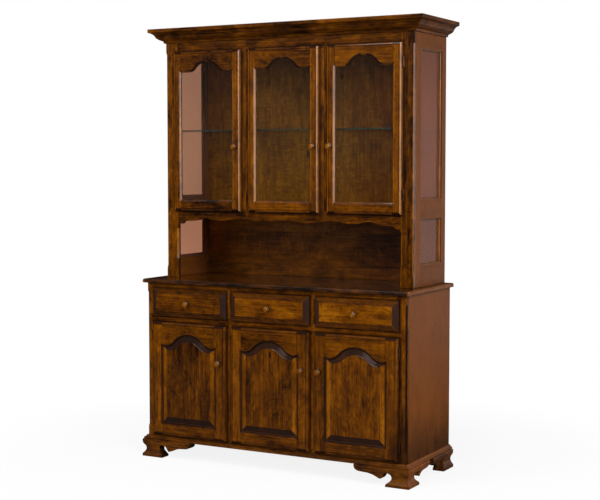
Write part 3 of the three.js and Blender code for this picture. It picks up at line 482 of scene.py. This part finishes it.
# Drawers: the overlaid front is stained like the doors. The box behind it is clear-finished maple, dovetailed
# at its corners, which show as end grain on the sides.
MAPLE = [(0.0, (0.28, 0.17, 0.085)), (0.5, (0.45, 0.30, 0.16)), (1.0, (0.58, 0.41, 0.24))]
BOX_FRONT, BOX_BACK, BOX_LOW = -0.2261, 0.2204, 0.7213
TAIL_PITCH = 0.014                                   # half the way from one dovetail to the next
TAIL_LENGTH = 0.012
TAIL_HALF, TAIL_SPLAY = 0.0042, 0.22


def drawer_tones(x, y, z):
    """Each drawer front is cut from a board of its own, the left one darker than the others."""
    column = round(x / BASE_PITCH)
    return 0.0, column * 3.0, 0.0, (column < -0.5) * -0.20


# Its end-grain bevels take a painted grey sheen.
drawer_wood = wood("drawer_wood", "x", board=0.6, which=17.0, lift=0.16, ends=0.62, ledge=0.36, coat=0.3,
                   sheen=0.05, curl=0.25, painted_sheen=0.55, rails=drawer_tones)
tree = drawer_wood.node_tree
skin = tree.nodes["Principled BSDF"]
stained = skin.inputs["Base Color"].links[0].from_socket
here = place_node(tree, "ShaderNodeTexCoord")
spot = marks_of(tree, here.outputs["Object"])
from_front = spot[1] - BOX_FRONT
from_end = least(from_front, BOX_BACK - spot[1])
height = spot[2] - BOX_LOW
tail = height.node("PINGPONG", height, TAIL_PITCH)
cut = from_end * TAIL_SPLAY + TAIL_HALF
near_end = from_end < TAIL_LENGTH
pin = (tail < cut) * near_end * (abs(marks_of(tree, here.outputs["Normal"])[0]) > 0.9)
line = abs(tail - cut).ramp(0.0005, 0.0002) * near_end
plain = place_node(tree, "ShaderNodeGroup", {
    "Place": turned_grain(tree, "y", here.outputs["Object"]), "Board Width": 0.11, "Which": 3.0, "Curl": 0.3},
    node_tree=figure_group)
depth = Mark(tree, plain.outputs["Depth"]) * 0.7 + 0.2 - pin * 0.38 - line * 0.4
feed(tree, skin, {"Base Color": blended(tree, from_front > 0.0, stained, colour_of(tree, depth, MAPLE))})
dress(drawer_wood, "left_drawer", "middle_drawer", "right_drawer", turn=14.0)

# Knobs: turned from the same maple, with a groove round the crown, and polished on the lathe. The stain is
# light on the crown and darker in the neck, and painted shade darkens what faces away from the front. Each is
# held by a screw from behind.
KNOB_LENGTH, KNOB_RADIUS, KNOB_FOOT, KNOB_NECK, KNOB_GROOVE = 0.031, 0.0175, 0.009, 0.0065, 0.0132


def bezier(points, count):
    """Points along a cubic Bezier curve, (1-t)^3 a + 3 (1-t)^2 t b + 3 (1-t) t^2 c + t^3 d, the first left
    out."""
    t = np.linspace(0.0, 1.0, count + 1)[1:, None]
    a, b, c, d = np.asarray(points, float)
    return ((1 - t) ** 3 * a + 3 * (1 - t) ** 2 * t * b + 3 * (1 - t) * t ** 2 * c + t ** 3 * d).tolist()


def placed(name, mesh, material, slot, body, stands_for=()):
    """Puts a new mesh in the scene on the body that it moves with."""
    mesh.materials.append(material)
    made = bpy.data.objects.new(name, mesh)
    bpy.context.scene.collection.objects.link(made)
    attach(made, body)
    if stands_for:
        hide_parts(*stands_for)


def turned(name, outline, x, y, z, turns=48):
    """A shape turned about Y: each outline point (radius, way forward) is carried round a circle,
    x + r cos t, y - way, z + r sin t. The first and last points lie on the axis."""
    angle = np.linspace(0.0, 2.0 * math.pi, turns, endpoint=False)
    ring = np.asarray(outline[1:-1])
    grid = np.stack([x + ring[:, :1] * np.cos(angle), y - ring[:, 1:] + 0.0 * angle,
                     z + ring[:, :1] * np.sin(angle)], axis=-1)
    points = np.vstack([grid.reshape(-1, 3), [[x, y - outline[0][1], z], [x, y - outline[-1][1], z]]])
    row, col = np.meshgrid(np.arange(len(ring) - 1), np.arange(turns), indexing="ij")
    here, beside = (row * turns + col).ravel(), (row * turns + (col + 1) % turns).ravel()
    faces = np.stack([here, beside, beside + turns, here + turns], axis=1).tolist()
    rim = np.arange(turns)
    last = (len(ring) - 1) * turns
    foot, crown = len(points) - 2, len(points) - 1
    faces += np.stack([np.full(turns, foot), (rim + 1) % turns, rim], axis=1).tolist()
    faces += np.stack([np.full(turns, crown), last + rim, last + (rim + 1) % turns], axis=1).tolist()
    mesh = bpy.data.meshes.new(name)
    mesh.from_pydata(points.tolist(), [], faces)
    mesh.polygons.foreach_set("use_smooth", np.ones(len(mesh.polygons), bool))
    mesh.update()
    return mesh


neck, waist, shoulder, bead, top = np.array([0.3, 0.38, 0.62, 0.84, 0.96]) * KNOB_LENGTH
roll, groove = np.array([0.88, 0.79]) * KNOB_LENGTH
knob_outline = [(0.0, 0.0), (KNOB_FOOT, 0.0)]
knob_outline += bezier([(KNOB_FOOT, 0.0), (0.0073, 0.0025), (KNOB_NECK, 0.0055), (KNOB_NECK, neck)], 8)
knob_outline += bezier(
    [(KNOB_NECK, neck), (KNOB_NECK, 1.5 * neck), (KNOB_RADIUS, waist), (KNOB_RADIUS, shoulder)], 12)
knob_outline += bezier(
    [(KNOB_RADIUS, shoulder), (KNOB_RADIUS, bead), (0.0146, roll), (KNOB_GROOVE, groove)], 10)
knob_outline += bezier(
    [(KNOB_GROOVE, groove), (0.0126, top), (0.0080, KNOB_LENGTH), (0.0, KNOB_LENGTH)], 14)
# rim paints shade on the sides of the knob that face away from the front.
knob_wood = wood("knob_wood", "y", board=0.5, which=21.0, rough=0.18, coat=1.0, coat_rough=0.05, lift=0.40,
                 ends=0.0, sheen=0.05, contrast=0.7, rim=0.96)
bodies = frame["record"]["behaviour"]["bodies"]
for node_name in [name for name in frame["nodes"] if name.endswith("_knob")]:
    low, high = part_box(node_name)
    name = node_name.replace("_knob", "_turned_knob")
    knob = turned(name, knob_outline, (low.x + high.x) / 2, high.y, (low.z + high.z) / 2)
    body = next(name for name, held in bodies.items() if node_name in held)
    placed(name, knob, knob_wood, "knob_wood", body, [node_name])

# Base doors: stiles run the full height with the rails between them, and the raised panel is glued up
# from three or four boards. The bevels at the panel's top and bottom are end grain and come out nearly black.
# The lip outside and the sticking round the panel are cut with one moulding plane each.
SIDES = ("left", "middle", "right")
BACK, FRONT = -0.0015, -0.0215                       # a door's back and front, from the face frame
BASE_OPENING = (0.152, 0.183, 0.619, 0.059, 0.134, 0.106, True)
FIELD = (0.125, 0.210, 0.591, 0.046, 0.120, 0.085, True)
LIP_WIDE, LIP_DEEP, LIP_ROUND = 0.0085, 0.0072, 0.75
LIP = [(LIP_WIDE * (LIP_ROUND - LIP_ROUND * math.cos(t) + t / math.pi / 2),
        LIP_DEEP * (1.0 - LIP_ROUND * math.sin(t) - t / math.pi / 2))
       for t in np.linspace(0.0, math.pi / 2, 9)]
STICKING_WIDE, STICKING_DEEP, STICKING_STEP = 0.0090, 0.0052, 0.0008
STICKING = [(0.0095, 0.0), (STICKING_WIDE, STICKING_STEP)] + [
    (STICKING_WIDE * (1.0 - s), STICKING_STEP + STICKING_DEEP * s * (0.75 + 0.25 * s))
    for s in np.linspace(0.0, 1.0, 9)[1:]]


def door_rails(pitch, door, opening_half, middle_z, face, kept, spread, slope):
    """Which board of a door a point lies on: the rails are what lies between the stiles' inner edges. Glaze
    stays along the lip and, as much as kept, in the moulded inner edge; stiles are rubbed lighter than rails.
    Rails grow lighter by spread from door to door, and a right stile differs from a left one by slope."""
    def rails(x, y, z):
        local = in_column(x, pitch)
        mask, right = abs(local) < opening_half, local > 0.0
        column = round(x / pitch)
        number = column * 7.0 + (mask * ((z > middle_z) * 2.0 + 9.0) + right * (mask * -3.0 + 3.0))
        edge = off_fronts(x, z, pitch, **door)
        lip = edge.ramp(-0.0155, -0.0100) * edge.ramp(-0.0070, -0.0088)
        sunk = y.ramp(face + 0.0003, face + 0.0016) * (edge < -0.02)
        dark = largest(joint_line(abs(local) - opening_half, 0.7, wide=0.0011), lip * 0.45, sunk * kept,
                       low_corner(x, z))
        return mask, number, dark, mask * (column * spread - 0.09) + (right * slope + 0.05)
    return rails


def cathedral(half, foot, peak, rise, reach, crown, hooked, grow=0.0):
    """A door opening's outline, grown outwards: up the right side and over the arch from right to left. Crown
    and ear are arcs that meet at one slope; past its lowest point the ear hooks up again or runs level. The
    crown is (crown sin t, peak - crown + crown cos t) and the ear (reach - ear sin s, peak - rise + ear -
    ear cos s), where ear is (reach^2 + rise^2) / (2 rise) - crown."""
    ear = (reach * reach + rise * rise) / (2.0 * rise) - crown
    turn = math.asin(reach / (crown + ear))
    top = np.linspace(0.0, turn, 25)
    crown_x = (crown + grow) * np.sin(top)
    crown_z = peak - crown + (crown + grow) * np.cos(top)
    last = math.asin(min(1.0, (half + grow - reach) / (ear - grow)))
    side = np.concatenate([np.linspace(turn, 0.0, 15)[1:], -np.linspace(0.0, last, 9)[1:] * hooked])
    ear_x = reach - (ear - grow) * np.sin(side)
    ear_z = peak - rise + ear - (ear - grow) * np.cos(side)
    if not hooked:
        ear_x[-8:] = reach + (half + grow - reach) * np.linspace(0.0, 1.0, 9)[1:]
    x = np.concatenate([crown_x, ear_x])
    z = np.concatenate([crown_z, ear_z])
    foot_line = [[-half - grow, foot - grow], [half + grow, foot - grow]]
    return np.concatenate([foot_line, np.stack([x, z], 1)[::-1], np.stack([-x, z], 1)[1:]])


def about(outline, half, low, high, inset):
    """The points of a rectangle's edge that lie beside an outline's: its top is shared out as the arch's."""
    count = len(outline) - 2
    x = (half - inset) * np.concatenate([[-1.0, 1.0], np.linspace(1.0, -1.0, count)])
    z = np.concatenate([[low + inset] * 2, np.full(count, high - inset)])
    return np.stack([x, z], 1)


def skinned(name, rings, material, slot, body, *stands_for, closed=False, turn=24.0):
    """A skin over rings of points: each ring joins the next, and the last joins the first again where closed;
    both ends are capped where not. Edges sharper than turn degrees stay sharp. The volume, summed over the
    faces as corner . (corner x corner), is negative where they point inwards, and then they are turned."""
    rows, count = rings.shape[:2]
    row, col = np.meshgrid(np.arange(rows if closed else rows - 1), np.arange(count), indexing="ij")
    row, col, beside = row.ravel(), col.ravel(), (col.ravel() + 1) % count
    on = (row + 1) % rows * count
    quads = np.stack([row * count + col, row * count + beside, on + beside, on + col], 1)
    caps = [] if closed else [np.arange(count)[::-1], np.arange((rows - 1) * count, rows * count)]
    points = rings.reshape(-1, 3)
    a, b, c, d = points[quads].transpose(1, 0, 2)
    volume = np.sum(a * (np.cross(b, c) + np.cross(c, d)))
    volume += sum(points[cap[0]] @ np.cross(points[cap[1:-1]], points[cap[2:]]).sum(0) for cap in caps)
    faces = quads.tolist() + [cap.tolist() for cap in caps]
    if volume < 0.0:
        faces = [face[::-1] for face in faces]
    mesh = bpy.data.meshes.new(name)
    mesh.from_pydata(points.tolist(), [], faces)
    mesh.polygons.foreach_set("use_smooth", np.ones(len(mesh.polygons), bool))
    mesh.set_sharp_from_angle(angle=math.radians(turn))
    placed(name, mesh, material, slot, body, stands_for)


def facing_front(rings, x, y):
    """Rings of (outline, depth) stood up facing the front: (x + outline x, y + depth, outline z)."""
    return np.stack([np.stack([x + ring[:, 0], np.full(len(ring), y + depth), ring[:, 1]], 1)
                     for ring, depth in rings])


def door_frame(opening, half, low, high, rebate=None):
    """Rings of a door frame from its back outer edge over the rounded lip and the moulded inner edge to the
    back again; rebate is (how far it is cut back, from which depth) for glass."""
    inner = cathedral(*opening)
    rings = [(about(inner, half, low, high, 0.0), deep) for deep in (BACK, FRONT + 0.0075)]
    rings += [(about(inner, half, low, high, inset), FRONT + deep) for inset, deep in LIP]
    rings += [(cathedral(*opening, grow), FRONT + deep) for grow, deep in STICKING]
    if rebate:
        cut, depth = rebate
        rings += [(inner, depth), (cathedral(*opening, cut), depth), (cathedral(*opening, cut), BACK)]
    else:
        rings += [(inner, BACK)]
    return rings


def panel_glaze(x, y, z):
    """A raised panel keeps glaze along its groove and against the step round its field."""
    groove = y.ramp(FACE - 0.0155, FACE - 0.0139) * 0.35
    step = y.ramp(FACE - 0.0203, FACE - 0.0198) * y.ramp(FACE - 0.0182, FACE - 0.0187) * 0.55
    column = round(x / BASE_PITCH)
    return 0.0, column * 5.0, largest(groove, step), column * 0.06


base_boards = door_rails(BASE_PITCH, BASE_DOOR, BASE_OPENING[0], middle_z=0.4, face=FRONT + FACE, kept=0.66,
                         spread=0.0, slope=-0.04)
base_door_wood = wood("base_door_wood", "z", board=0.5, which=31.0, lift=0.04, coat=0.3, edge_coat=0.6,
                      sheen=0.05, curl=0.12, contrast=0.88, rails=base_boards)
# Its end-grain bevels take a painted grey sheen.
panel_wood = wood("panel_wood", "z", board=0.098, which=37.0, lift=-0.01, ends=0.70, coat=0.3, edge_coat=1.0,
                  sheen=0.05, curl=0.12, contrast=0.88, flank=0.36, painted_sheen=0.3, rails=panel_glaze)
# From the tongue in the frame's groove over the bevel to the step and the field, as (grown by, depth)
panel_rings = [(cathedral(*BASE_OPENING, grow), depth) for grow, depth in (
    (0.009, -0.0077), (0.009, -0.0137), (-0.0010, -0.0137))]
panel_rings += [(cathedral(*FIELD, grow), depth) for grow, depth in (
    (0.0016, -0.0188), (0.0010, -0.0189), (0.0009, -0.0197), (0.0003, -0.0203), (-0.0008, -0.0205))]
for column, side in enumerate(SIDES):
    body, x = f"base_{side}_door", BASE_PITCH * (column - 1)
    skinned(f"{body}_moulded_frame", facing_front(door_frame(BASE_OPENING, **BASE_DOOR), x, FACE),
            base_door_wood, "front_wood", body, f"{body}_frame", closed=True, turn=12.0)
    skinned(f"{body}_raised_panel", facing_front(panel_rings, x, FACE), panel_wood, "front_wood", body,
            f"{body}_panel", turn=6.0)

# Hinges: small butt hinges in aged copper. Each has a barrel of five knuckles with ball tips, one leaf let
# into the door's edge and one behind the door on the face frame, held by small round screws.
HUTCH_FACE = 0.133 + FACE
HUTCH_PITCH = 0.431
HUTCH_DOOR = {"half": 0.191, "low": 1.232, "high": 2.018}
HALF_LEAF = 0.0245                                   # half a leaf's height
KNUCKLE, KNUCKLE_JOINT = 0.0042, 0.0036              # the barrel's radius, and in its joints
hinge_metal, tree, skin = finish_of("hinge_metal", rough=0.36, metal=1.0)
worn = noise_of(tree, place_node(tree, "ShaderNodeTexCoord").outputs["Object"], (60.0, 60.0, 30.0), 4.0)
feed(tree, skin, {"Base Color": colour_of(
    tree, worn, [(0.3, (0.030, 0.012, 0.006)), (0.7, (0.16, 0.068, 0.034))])})


def disc(across, centre, low, radius, count=20):
    """A ring of points about one axis, 0 for X, 1 for Y, 2 for Z: the centre, moved low along the axis and by
    (radius cos t, radius sin t) across it."""
    t = np.linspace(0.0, 2.0 * math.pi, count, endpoint=False)
    ring = np.stack([np.full(count, low), radius * np.cos(t), radius * np.sin(t)], 1)
    return np.roll(ring, across, axis=1) + np.asarray(centre)


def plate(across, low, high, soft=0.0003):
    """Rings of a thin plate between two corners, with eased edges, its thickness along one axis: each ring is
    a rectangle, drawn in by soft on both faces and full a little below them."""
    low, high = np.asarray(low), np.asarray(high)
    inset = np.array([soft, 0.0, 0.0, soft])[:, None]
    a, b = (across + 1) % 3, (across + 2) % 3
    rings = np.zeros((4, 4, 3))
    rings[..., a] = np.where([False, True, True, False], high[a] - inset, low[a] + inset)
    rings[..., b] = np.where([False, False, True, True], high[b] - inset, low[b] + inset)
    rings[..., across] = np.array([low, low + soft, high - soft, high])[:, across, None]
    return rings


barrel = [(-0.0278, 0.0004), (-0.0274, 0.0016), (-0.0262, 0.0024), (-0.0250, 0.0016), (-0.0247, 0.0030),
          (-0.0245, KNUCKLE)]
tip = [(-low, radius) for low, radius in barrel[::-1]]
for joint in (-0.0150, -0.0050, 0.0050, 0.0150):
    barrel += [(joint - 0.0003, KNUCKLE), (joint - 0.0001, KNUCKLE_JOINT), (joint + 0.0001, KNUCKLE_JOINT),
               (joint + 0.0003, KNUCKLE)]
barrel += tip
screw_head = [(0.0, 0.0022), (-0.0014, 0.0022), (-0.00155, 0.0015), (-0.0014, 0.0006)]
for tier, pitch, door, face, heights in (("base", BASE_PITCH, BASE_DOOR, FACE, (0.184, 0.614)),
                                         ("hutch", HUTCH_PITCH, HUTCH_DOOR, HUTCH_FACE, (1.322, 1.928))):
    for column, side in enumerate(SIDES):
        toward = 1.0 if side == "right" else -1.0
        edge = pitch * (column - 1) + toward * door["half"]
        for where, z in zip(("lower", "upper"), heights):
            body, name = f"{tier}_{side}_door", f"{tier}_{side}_door_{where}_hinge"
            pin = (edge + toward * 0.005, face - 0.0048, z)
            skinned(f"{name}_barrel", np.stack([disc(2, pin, low, radius) for low, radius in barrel]),
                    hinge_metal, "hinge_brass", body, name)
            near, far = sorted([edge + toward * 0.0050, edge - toward * 0.0019])
            leaf = plate(0, (near, face - 0.0150, z - HALF_LEAF), (far, face - 0.0040, z + HALF_LEAF))
            skinned(f"{name}_door_leaf", leaf, hinge_metal, "hinge_brass", body)
            near, far = sorted([edge + toward * 0.0040, edge - toward * 0.0200])
            leaf = plate(1, (near, face - 0.0013, z - HALF_LEAF), (far, face, z + HALF_LEAF))
            skinned(f"{name}_case_leaf", leaf, hinge_metal, "hinge_brass", "case")
            for screw, up in enumerate((-0.0160, 0.0, 0.0160)):
                place = (edge - toward * 0.0110, face, z + up)
                head = np.stack([disc(1, place, low, radius, 12) for low, radius in screw_head])
                skinned(f"{name}_case_screw_{screw}", head, hinge_metal, "hinge_brass", "case")

# Hutch: glazed side frames joined by a plain floor and top, a face frame like the base's, and a back of
# boards, upright behind the glass and level behind the open space. It is screwed down to the worktop.
SIDE_MIDDLE, HALF_SIDE_RAIL = 0.1045, 0.1238         # a side frame's middle along Y, half its rails' length
HUTCH_OUTER_STILE = 0.612
HUTCH_TOP_RAIL, SCALLOPED_RAIL = 2.008, 1.242        # the top rail's low edge, the scalloped rail's top edge
HUTCH_FLOOR = 1.23


def side_frame_rails(x, y, z):
    """The hutch sides: the rails run between the upright stiles."""
    local = abs(y - SIDE_MIDDLE)
    mask = local < HALF_SIDE_RAIL
    return mask, mask * (round(z) + 3.0), joint_line(local - (HALF_SIDE_RAIL + 0.0002), 0.7), 0.0


def hutch_frame_rails(x, y, z):
    """The hutch face frame: a top rail and the scalloped rail, with stiles between."""
    low = z < SCALLOPED_RAIL
    across = largest(z > HUTCH_TOP_RAIL, low)
    mask = (abs(x) < HUTCH_OUTER_STILE) * across
    # Painted shade, with glaze, beside the doors.
    gap = off_fronts(x, z, HUTCH_PITCH, **HUTCH_DOOR)
    seam = joint_line(abs(x) - HUTCH_OUTER_STILE, across * 0.7)
    right_stile = x > HUTCH_OUTER_STILE + 0.008
    return (mask, mask * 3.7 + round(x / HUTCH_PITCH), largest(seam, glaze_and_shade_beside(gap, 0.018, 0.65)),
            low * 0.12 + (right_stile * -0.17 + mask * -0.09))


def back_boards_and_shade(x, y, z):
    """The hutch back: boards run along X below the floor board and upright above it. The lower boards keep
    less of the back's painted light, and to the right are darker still, a painted shadow of the hutch's right
    side.
    """
    low = z < HUTCH_FLOOR
    return low, 0.0, 0.0, low * (x.ramp(0.05, 0.45) * -0.32 - 0.22)


# The sides take the side colour: partly a redder stain, partly a painted sheen.
dress(wood("hutch_side_wood", "z", board=0.5, which=41.0, stops=SIDE_STAIN_AND_SHEEN, rough=0.42, coat=0.0, sheen=0.10,
           lift=-0.06, contrast=0.45, rails=side_frame_rails, cross="y"),
      "hutch_left_side", "hutch_right_side")
dress(wood("hutch_frame_wood", "z", board=0.5, which=45.0, lift=-0.06, coat=0.3, edge_coat=0.6, sheen=0.05,
           flank=0.30, rails=hutch_frame_rails), "hutch_face_frame")
# The back's high lift is painted light inside the glazed hutch.
dress(wood("hutch_back_wood", "z", board=0.14, which=48.0, rough=0.38, coat=0.0, sheen=0.25, lift=0.34,
           curl=0.3, contrast=0.75, rails=back_boards_and_shade), "hutch_back")
dress(wood("hutch_board_wood", "x", board=0.17, which=51.0, rough=0.38, coat=0.05),
      "hutch_floor", "hutch_top")
dress(wood("backsplash_wood", "x", board=0.5, which=53.0, lift=0.03), "backsplash")

# Crown moulding: run on long blanks and mitred round the top of the hutch, glued and nailed to it. It is
# stained like the base moulding, and darker along the sides, which take the side colour with its painted
# sheen.
CROWN_CORNER = (0.680, -0.0916)
dress(wood("crown_wood", "x", board=0.5, which=56.0, lift=-0.08, coat=0.0, sheen=0.06, ends=0.5, cross="y",
           crossed=SIDE_STAIN_AND_SHEEN, rails=mitred(CROWN_CORNER, -0.26)), "crown_moulding")

# Side panes: bronze sheet glass laid in the side frames' rebates. A quarter-round bead, mitred at the
# corners, holds it in each opening and is pinned to the frame.
LIGHTS = (("lower", 0.995, 1.209), ("upper", 1.300, 1.994))
PANE_FACE = 0.6670
BEAD_WIDE, BEAD_DEEP, LIGHT_MIDDLE, HALF_LIGHT = 0.0062, 0.0090, 0.1044, 0.1240


def glass(name, colour, rough=0.0, through=1.0, ior=1.45, veil=0.5):
    """Sheet glass that lets the lamps through, tinted as much as veil."""
    made, tree, skin = finish_of(name, colour, rough=rough, through=through, ior=ior)
    tint = [1.0 - veil + veil * part for part in colour]
    clear = place_node(tree, "ShaderNodeBsdfTransparent", {0: (*tint, 1.0)})
    shadow = place_node(tree, "ShaderNodeLightPath").outputs["Is Shadow Ray"]
    both = place_node(tree, "ShaderNodeMixShader", {0: shadow, 1: skin.outputs[0], 2: clear.outputs[0]})
    feed(tree, tree.nodes["Material Output"], {0: both.outputs[0]})
    return made


def bead_rings(toward, low, high):
    """A quarter round carried round an opening: each ring is its rectangle drawn in by wide sin t, and stands
    out from the pane by deep cos t."""
    t = np.linspace(0.2, math.pi / 2, 7)
    out = np.concatenate([[0.0, BEAD_DEEP], BEAD_DEEP * np.cos(t)])
    inset = np.concatenate([[0.0, 0.0], BEAD_WIDE * np.sin(t)])
    rings = np.empty((len(out), 4, 3))
    rings[..., 0] = toward * (PANE_FACE + out)[:, None]
    rings[..., 1] = LIGHT_MIDDLE + np.outer(HALF_LIGHT - inset, [-1.0, 1.0, 1.0, -1.0])
    rings[..., 2] = (low + high) / 2 + np.outer((high - low) / 2 - inset, [-1.0, -1.0, 1.0, 1.0])
    return rings


bead_wood = wood("bead_wood", "z", board=0.5, which=43.0, lift=0.22, coat=0.2, ends=0.0)
for side, toward in (("left", -1.0), ("right", 1.0)):
    for light, low, high in LIGHTS:
        skinned(f"hutch_{side}_{light}_glass_bead", bead_rings(toward, low, high), bead_wood, "case_wood",
                "case", closed=True)
dress(glass("side_pane_glass", (0.46, 0.205, 0.12), rough=0.06, through=0.84, ior=1.17, veil=0.9),
      "hutch_left_pane", "hutch_right_pane")

# Glass shelf: clear float glass with ground edges, laid on pegs. An edge shows the green that the glass hides
# when looked through.
shelf_glass = glass("shelf_glass", (0.80, 0.93, 0.88))
tree = shelf_glass.node_tree
edge = place_node(tree, "ShaderNodeBsdfPrincipled", {
    "Base Color": (0.010, 0.022, 0.018, 1.0), "Roughness": 0.2})
up = abs(marks_of(tree, place_node(tree, "ShaderNodeTexCoord").outputs["Normal"])[2])
sheet = tree.nodes["Material Output"].inputs[0].links[0].from_socket
both = place_node(tree, "ShaderNodeMixShader", {0: up.ramp(0.8, 0.5), 1: sheet, 2: edge.outputs[0]})
feed(tree, tree.nodes["Material Output"], {0: both.outputs[0]})
dress(shelf_glass, "glass_shelf")

# Hutch doors: stiles and rails as on the base doors, with clear glass set in a rebate behind the arch. A thin
# stop, bent to the same arch, is pinned behind the glass.
HUTCH_OPENING = (0.149, 1.286, 1.966, 0.049, 0.099, 0.084, False)
REBATE = (0.008, -0.0105)                            # how far it is cut back, and from which depth
hutch_boards = door_rails(HUTCH_PITCH, HUTCH_DOOR, HUTCH_OPENING[0], middle_z=1.6, face=FRONT + HUTCH_FACE,
                          kept=0.0, spread=0.12, slope=-0.08)
hutch_door_wood = wood("hutch_door_wood", "z", board=0.5, which=61.0, lift=0.06, coat=0.3, edge_coat=1.0,
                       sheen=0.05, curl=0.18, contrast=0.88, flank=0.30, rails=hutch_boards)
stop_rings = [(cathedral(*HUTCH_OPENING, grow), depth) for grow, depth in (
    (0.0077, -0.0062), (0.0010, -0.0062), (0.0010, -0.0050), (0.0030, -0.0026), (0.0050, -0.0016),
    (0.0077, -0.0016))]
for column, side in enumerate(SIDES):
    body, x = f"hutch_{side}_door", HUTCH_PITCH * (column - 1)
    rings = facing_front(door_frame(HUTCH_OPENING, **HUTCH_DOOR, rebate=REBATE), x, HUTCH_FACE)
    skinned(f"{body}_moulded_frame", rings, hutch_door_wood, "front_wood", body, f"{body}_frame", closed=True,
            turn=12.0)
    skinned(f"{body}_glass_stop", facing_front(stop_rings, x, HUTCH_FACE), hutch_door_wood, "front_wood",
            body, closed=True)
dress(glass("door_glass", (0.86, 0.93, 0.94)), *[f"hutch_{side}_door_glass" for side in SIDES])

# Studio: a round white floor that fades into a white surround, a broad lamp at the right front, a weaker one
# at the left and one overhead. The surround is pale behind the cupboard and dark behind the camera.
FLOOR_RADIUS, FLOOR_DROP, FLOOR_CORNERS = 4.0, 0.0004, 96
WHITE = (1.0, 1.0, 1.0, 1.0)
angle = np.linspace(0.0, 2.0 * math.pi, FLOOR_CORNERS, endpoint=False)
disc_points = np.stack([
    FLOOR_RADIUS * np.cos(angle), FLOOR_RADIUS * np.sin(angle), 0.0 * angle - FLOOR_DROP], 1)
floor_mesh = bpy.data.meshes.new("floor")
floor_mesh.from_pydata(disc_points.tolist(), [], [list(range(FLOOR_CORNERS))])
floor = bpy.data.objects.new("floor", floor_mesh)
bpy.context.scene.collection.objects.link(floor)
floor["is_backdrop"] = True
paper = bpy.data.materials.new("floor_paper")
paper.use_nodes = True
tree = paper.node_tree
tree.nodes.clear()
rays = place_node(tree, "ShaderNodeLightPath").outputs
grey = Mark(tree, rays["Is Glossy Ray"]) * -0.74 + 0.8
matt = place_node(tree, "ShaderNodeBsdfDiffuse", {
    "Color": place_node(tree, "ShaderNodeCombineColor", {0: grey, 1: grey, 2: grey}).outputs[0]})
glow = place_node(tree, "ShaderNodeEmission", {"Color": WHITE, "Strength": 1.0})
away = place_node(tree, "ShaderNodeVectorMath", {0: place_node(tree, "ShaderNodeTexCoord").outputs["Object"]},
                  operation="LENGTH").outputs[1]
fade = Mark(tree, away).ramp(0.8, 2.2) * 0.13 + 0.87
seen = largest(Mark(tree, rays["Is Camera Ray"]), rays["Is Transmission Ray"]) * fade
both = place_node(tree, "ShaderNodeMixShader", {0: seen, 1: matt.outputs[0], 2: glow.outputs[0]})
place_node(tree, "ShaderNodeOutputMaterial", {0: both.outputs[0]})
floor_mesh.materials.append(paper)

room = bpy.data.worlds.new("studio")
bpy.context.scene.world = room
room.use_nodes = True
tree = room.node_tree
tree.nodes.clear()
rays = place_node(tree, "ShaderNodeLightPath").outputs
generated = place_node(tree, "ShaderNodeTexCoord").outputs["Generated"]
x, y, z = marks_of(tree, generated)
# What the polish mirrors: the pale wall behind, low down; a card at the right, a strip in front, a lamp
# before the doors and the ceiling
behind = (y * 0.6 + x * 0.9).ramp(0.05, 0.8) * (z.ramp(0.12, 0.02) * 0.70 + 0.30) * z.ramp(-0.45, -0.25)
card = (y * -0.47 + x * 0.88).ramp(0.62, 0.80) * z.ramp(-0.06, -0.01)
card = card * z.ramp(0.17, 0.11) * y.ramp(0.0, -0.15)
strip = y.ramp(-0.6, -0.8) * z.ramp(-0.06, 0.04)
toward = place_node(tree, "ShaderNodeVectorMath", {0: generated, 1: (-0.10, -0.96, 0.25)},
                    operation="DOT_PRODUCT").outputs[1]
front_lamp = Mark(tree, toward).ramp(0.970, 0.986)
mirrored = behind * 0.72 + 0.01 + card * 3.2 + strip * 0.08 + front_lamp * 2.4 + z.ramp(0.50, 0.75) * 0.3
through = y.ramp(-0.8, -0.4) * rays["Is Transmission Ray"]
plain = largest(through, rays["Is Camera Ray"])
strength = blended(tree, rays["Is Glossy Ray"], 0.34, mirrored, "FLOAT")
strength = blended(tree, plain, strength, 1.0, "FLOAT")
back = place_node(tree, "ShaderNodeBackground", {"Color": WHITE, "Strength": strength})
place_node(tree, "ShaderNodeOutputWorld", {0: back.outputs[0]})


def lamp(name, place, aim, size, tall, power, mirrored=True):
    """A soft lamp box that faces a point."""
    light = bpy.data.lights.new(name, "AREA")
    light.shape = "RECTANGLE"
    light.size = size
    light.size_y = tall
    light.energy = power
    made = bpy.data.objects.new(name, light)
    made.location = place
    way = np.asarray(aim, float) - np.asarray(place, float)
    flat = math.hypot(way[0], way[1])
    made.rotation_euler = (math.atan2(flat, -way[2]), 0.0, math.atan2(-way[0], way[1]))
    made.visible_glossy = mirrored
    made.visible_transmission = mirrored
    bpy.context.scene.collection.objects.link(made)


lamp("key_lamp", (4.5, -2.9, 3.5), (0.0, 0.0, 1.1), 2.4, 2.2, 225.0)
lamp("fill_lamp", (-2.6, -4.8, 2.5), (0.0, 0.0, 1.1), 2.6, 2.6, 125.0, mirrored=False)
lamp("top_lamp", (0.2, -1.8, 4.2), (0.0, 0.0, 1.0), 2.4, 2.0, 80.0)

{"cad": cad_box, "visual": [list(corner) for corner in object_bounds()]}
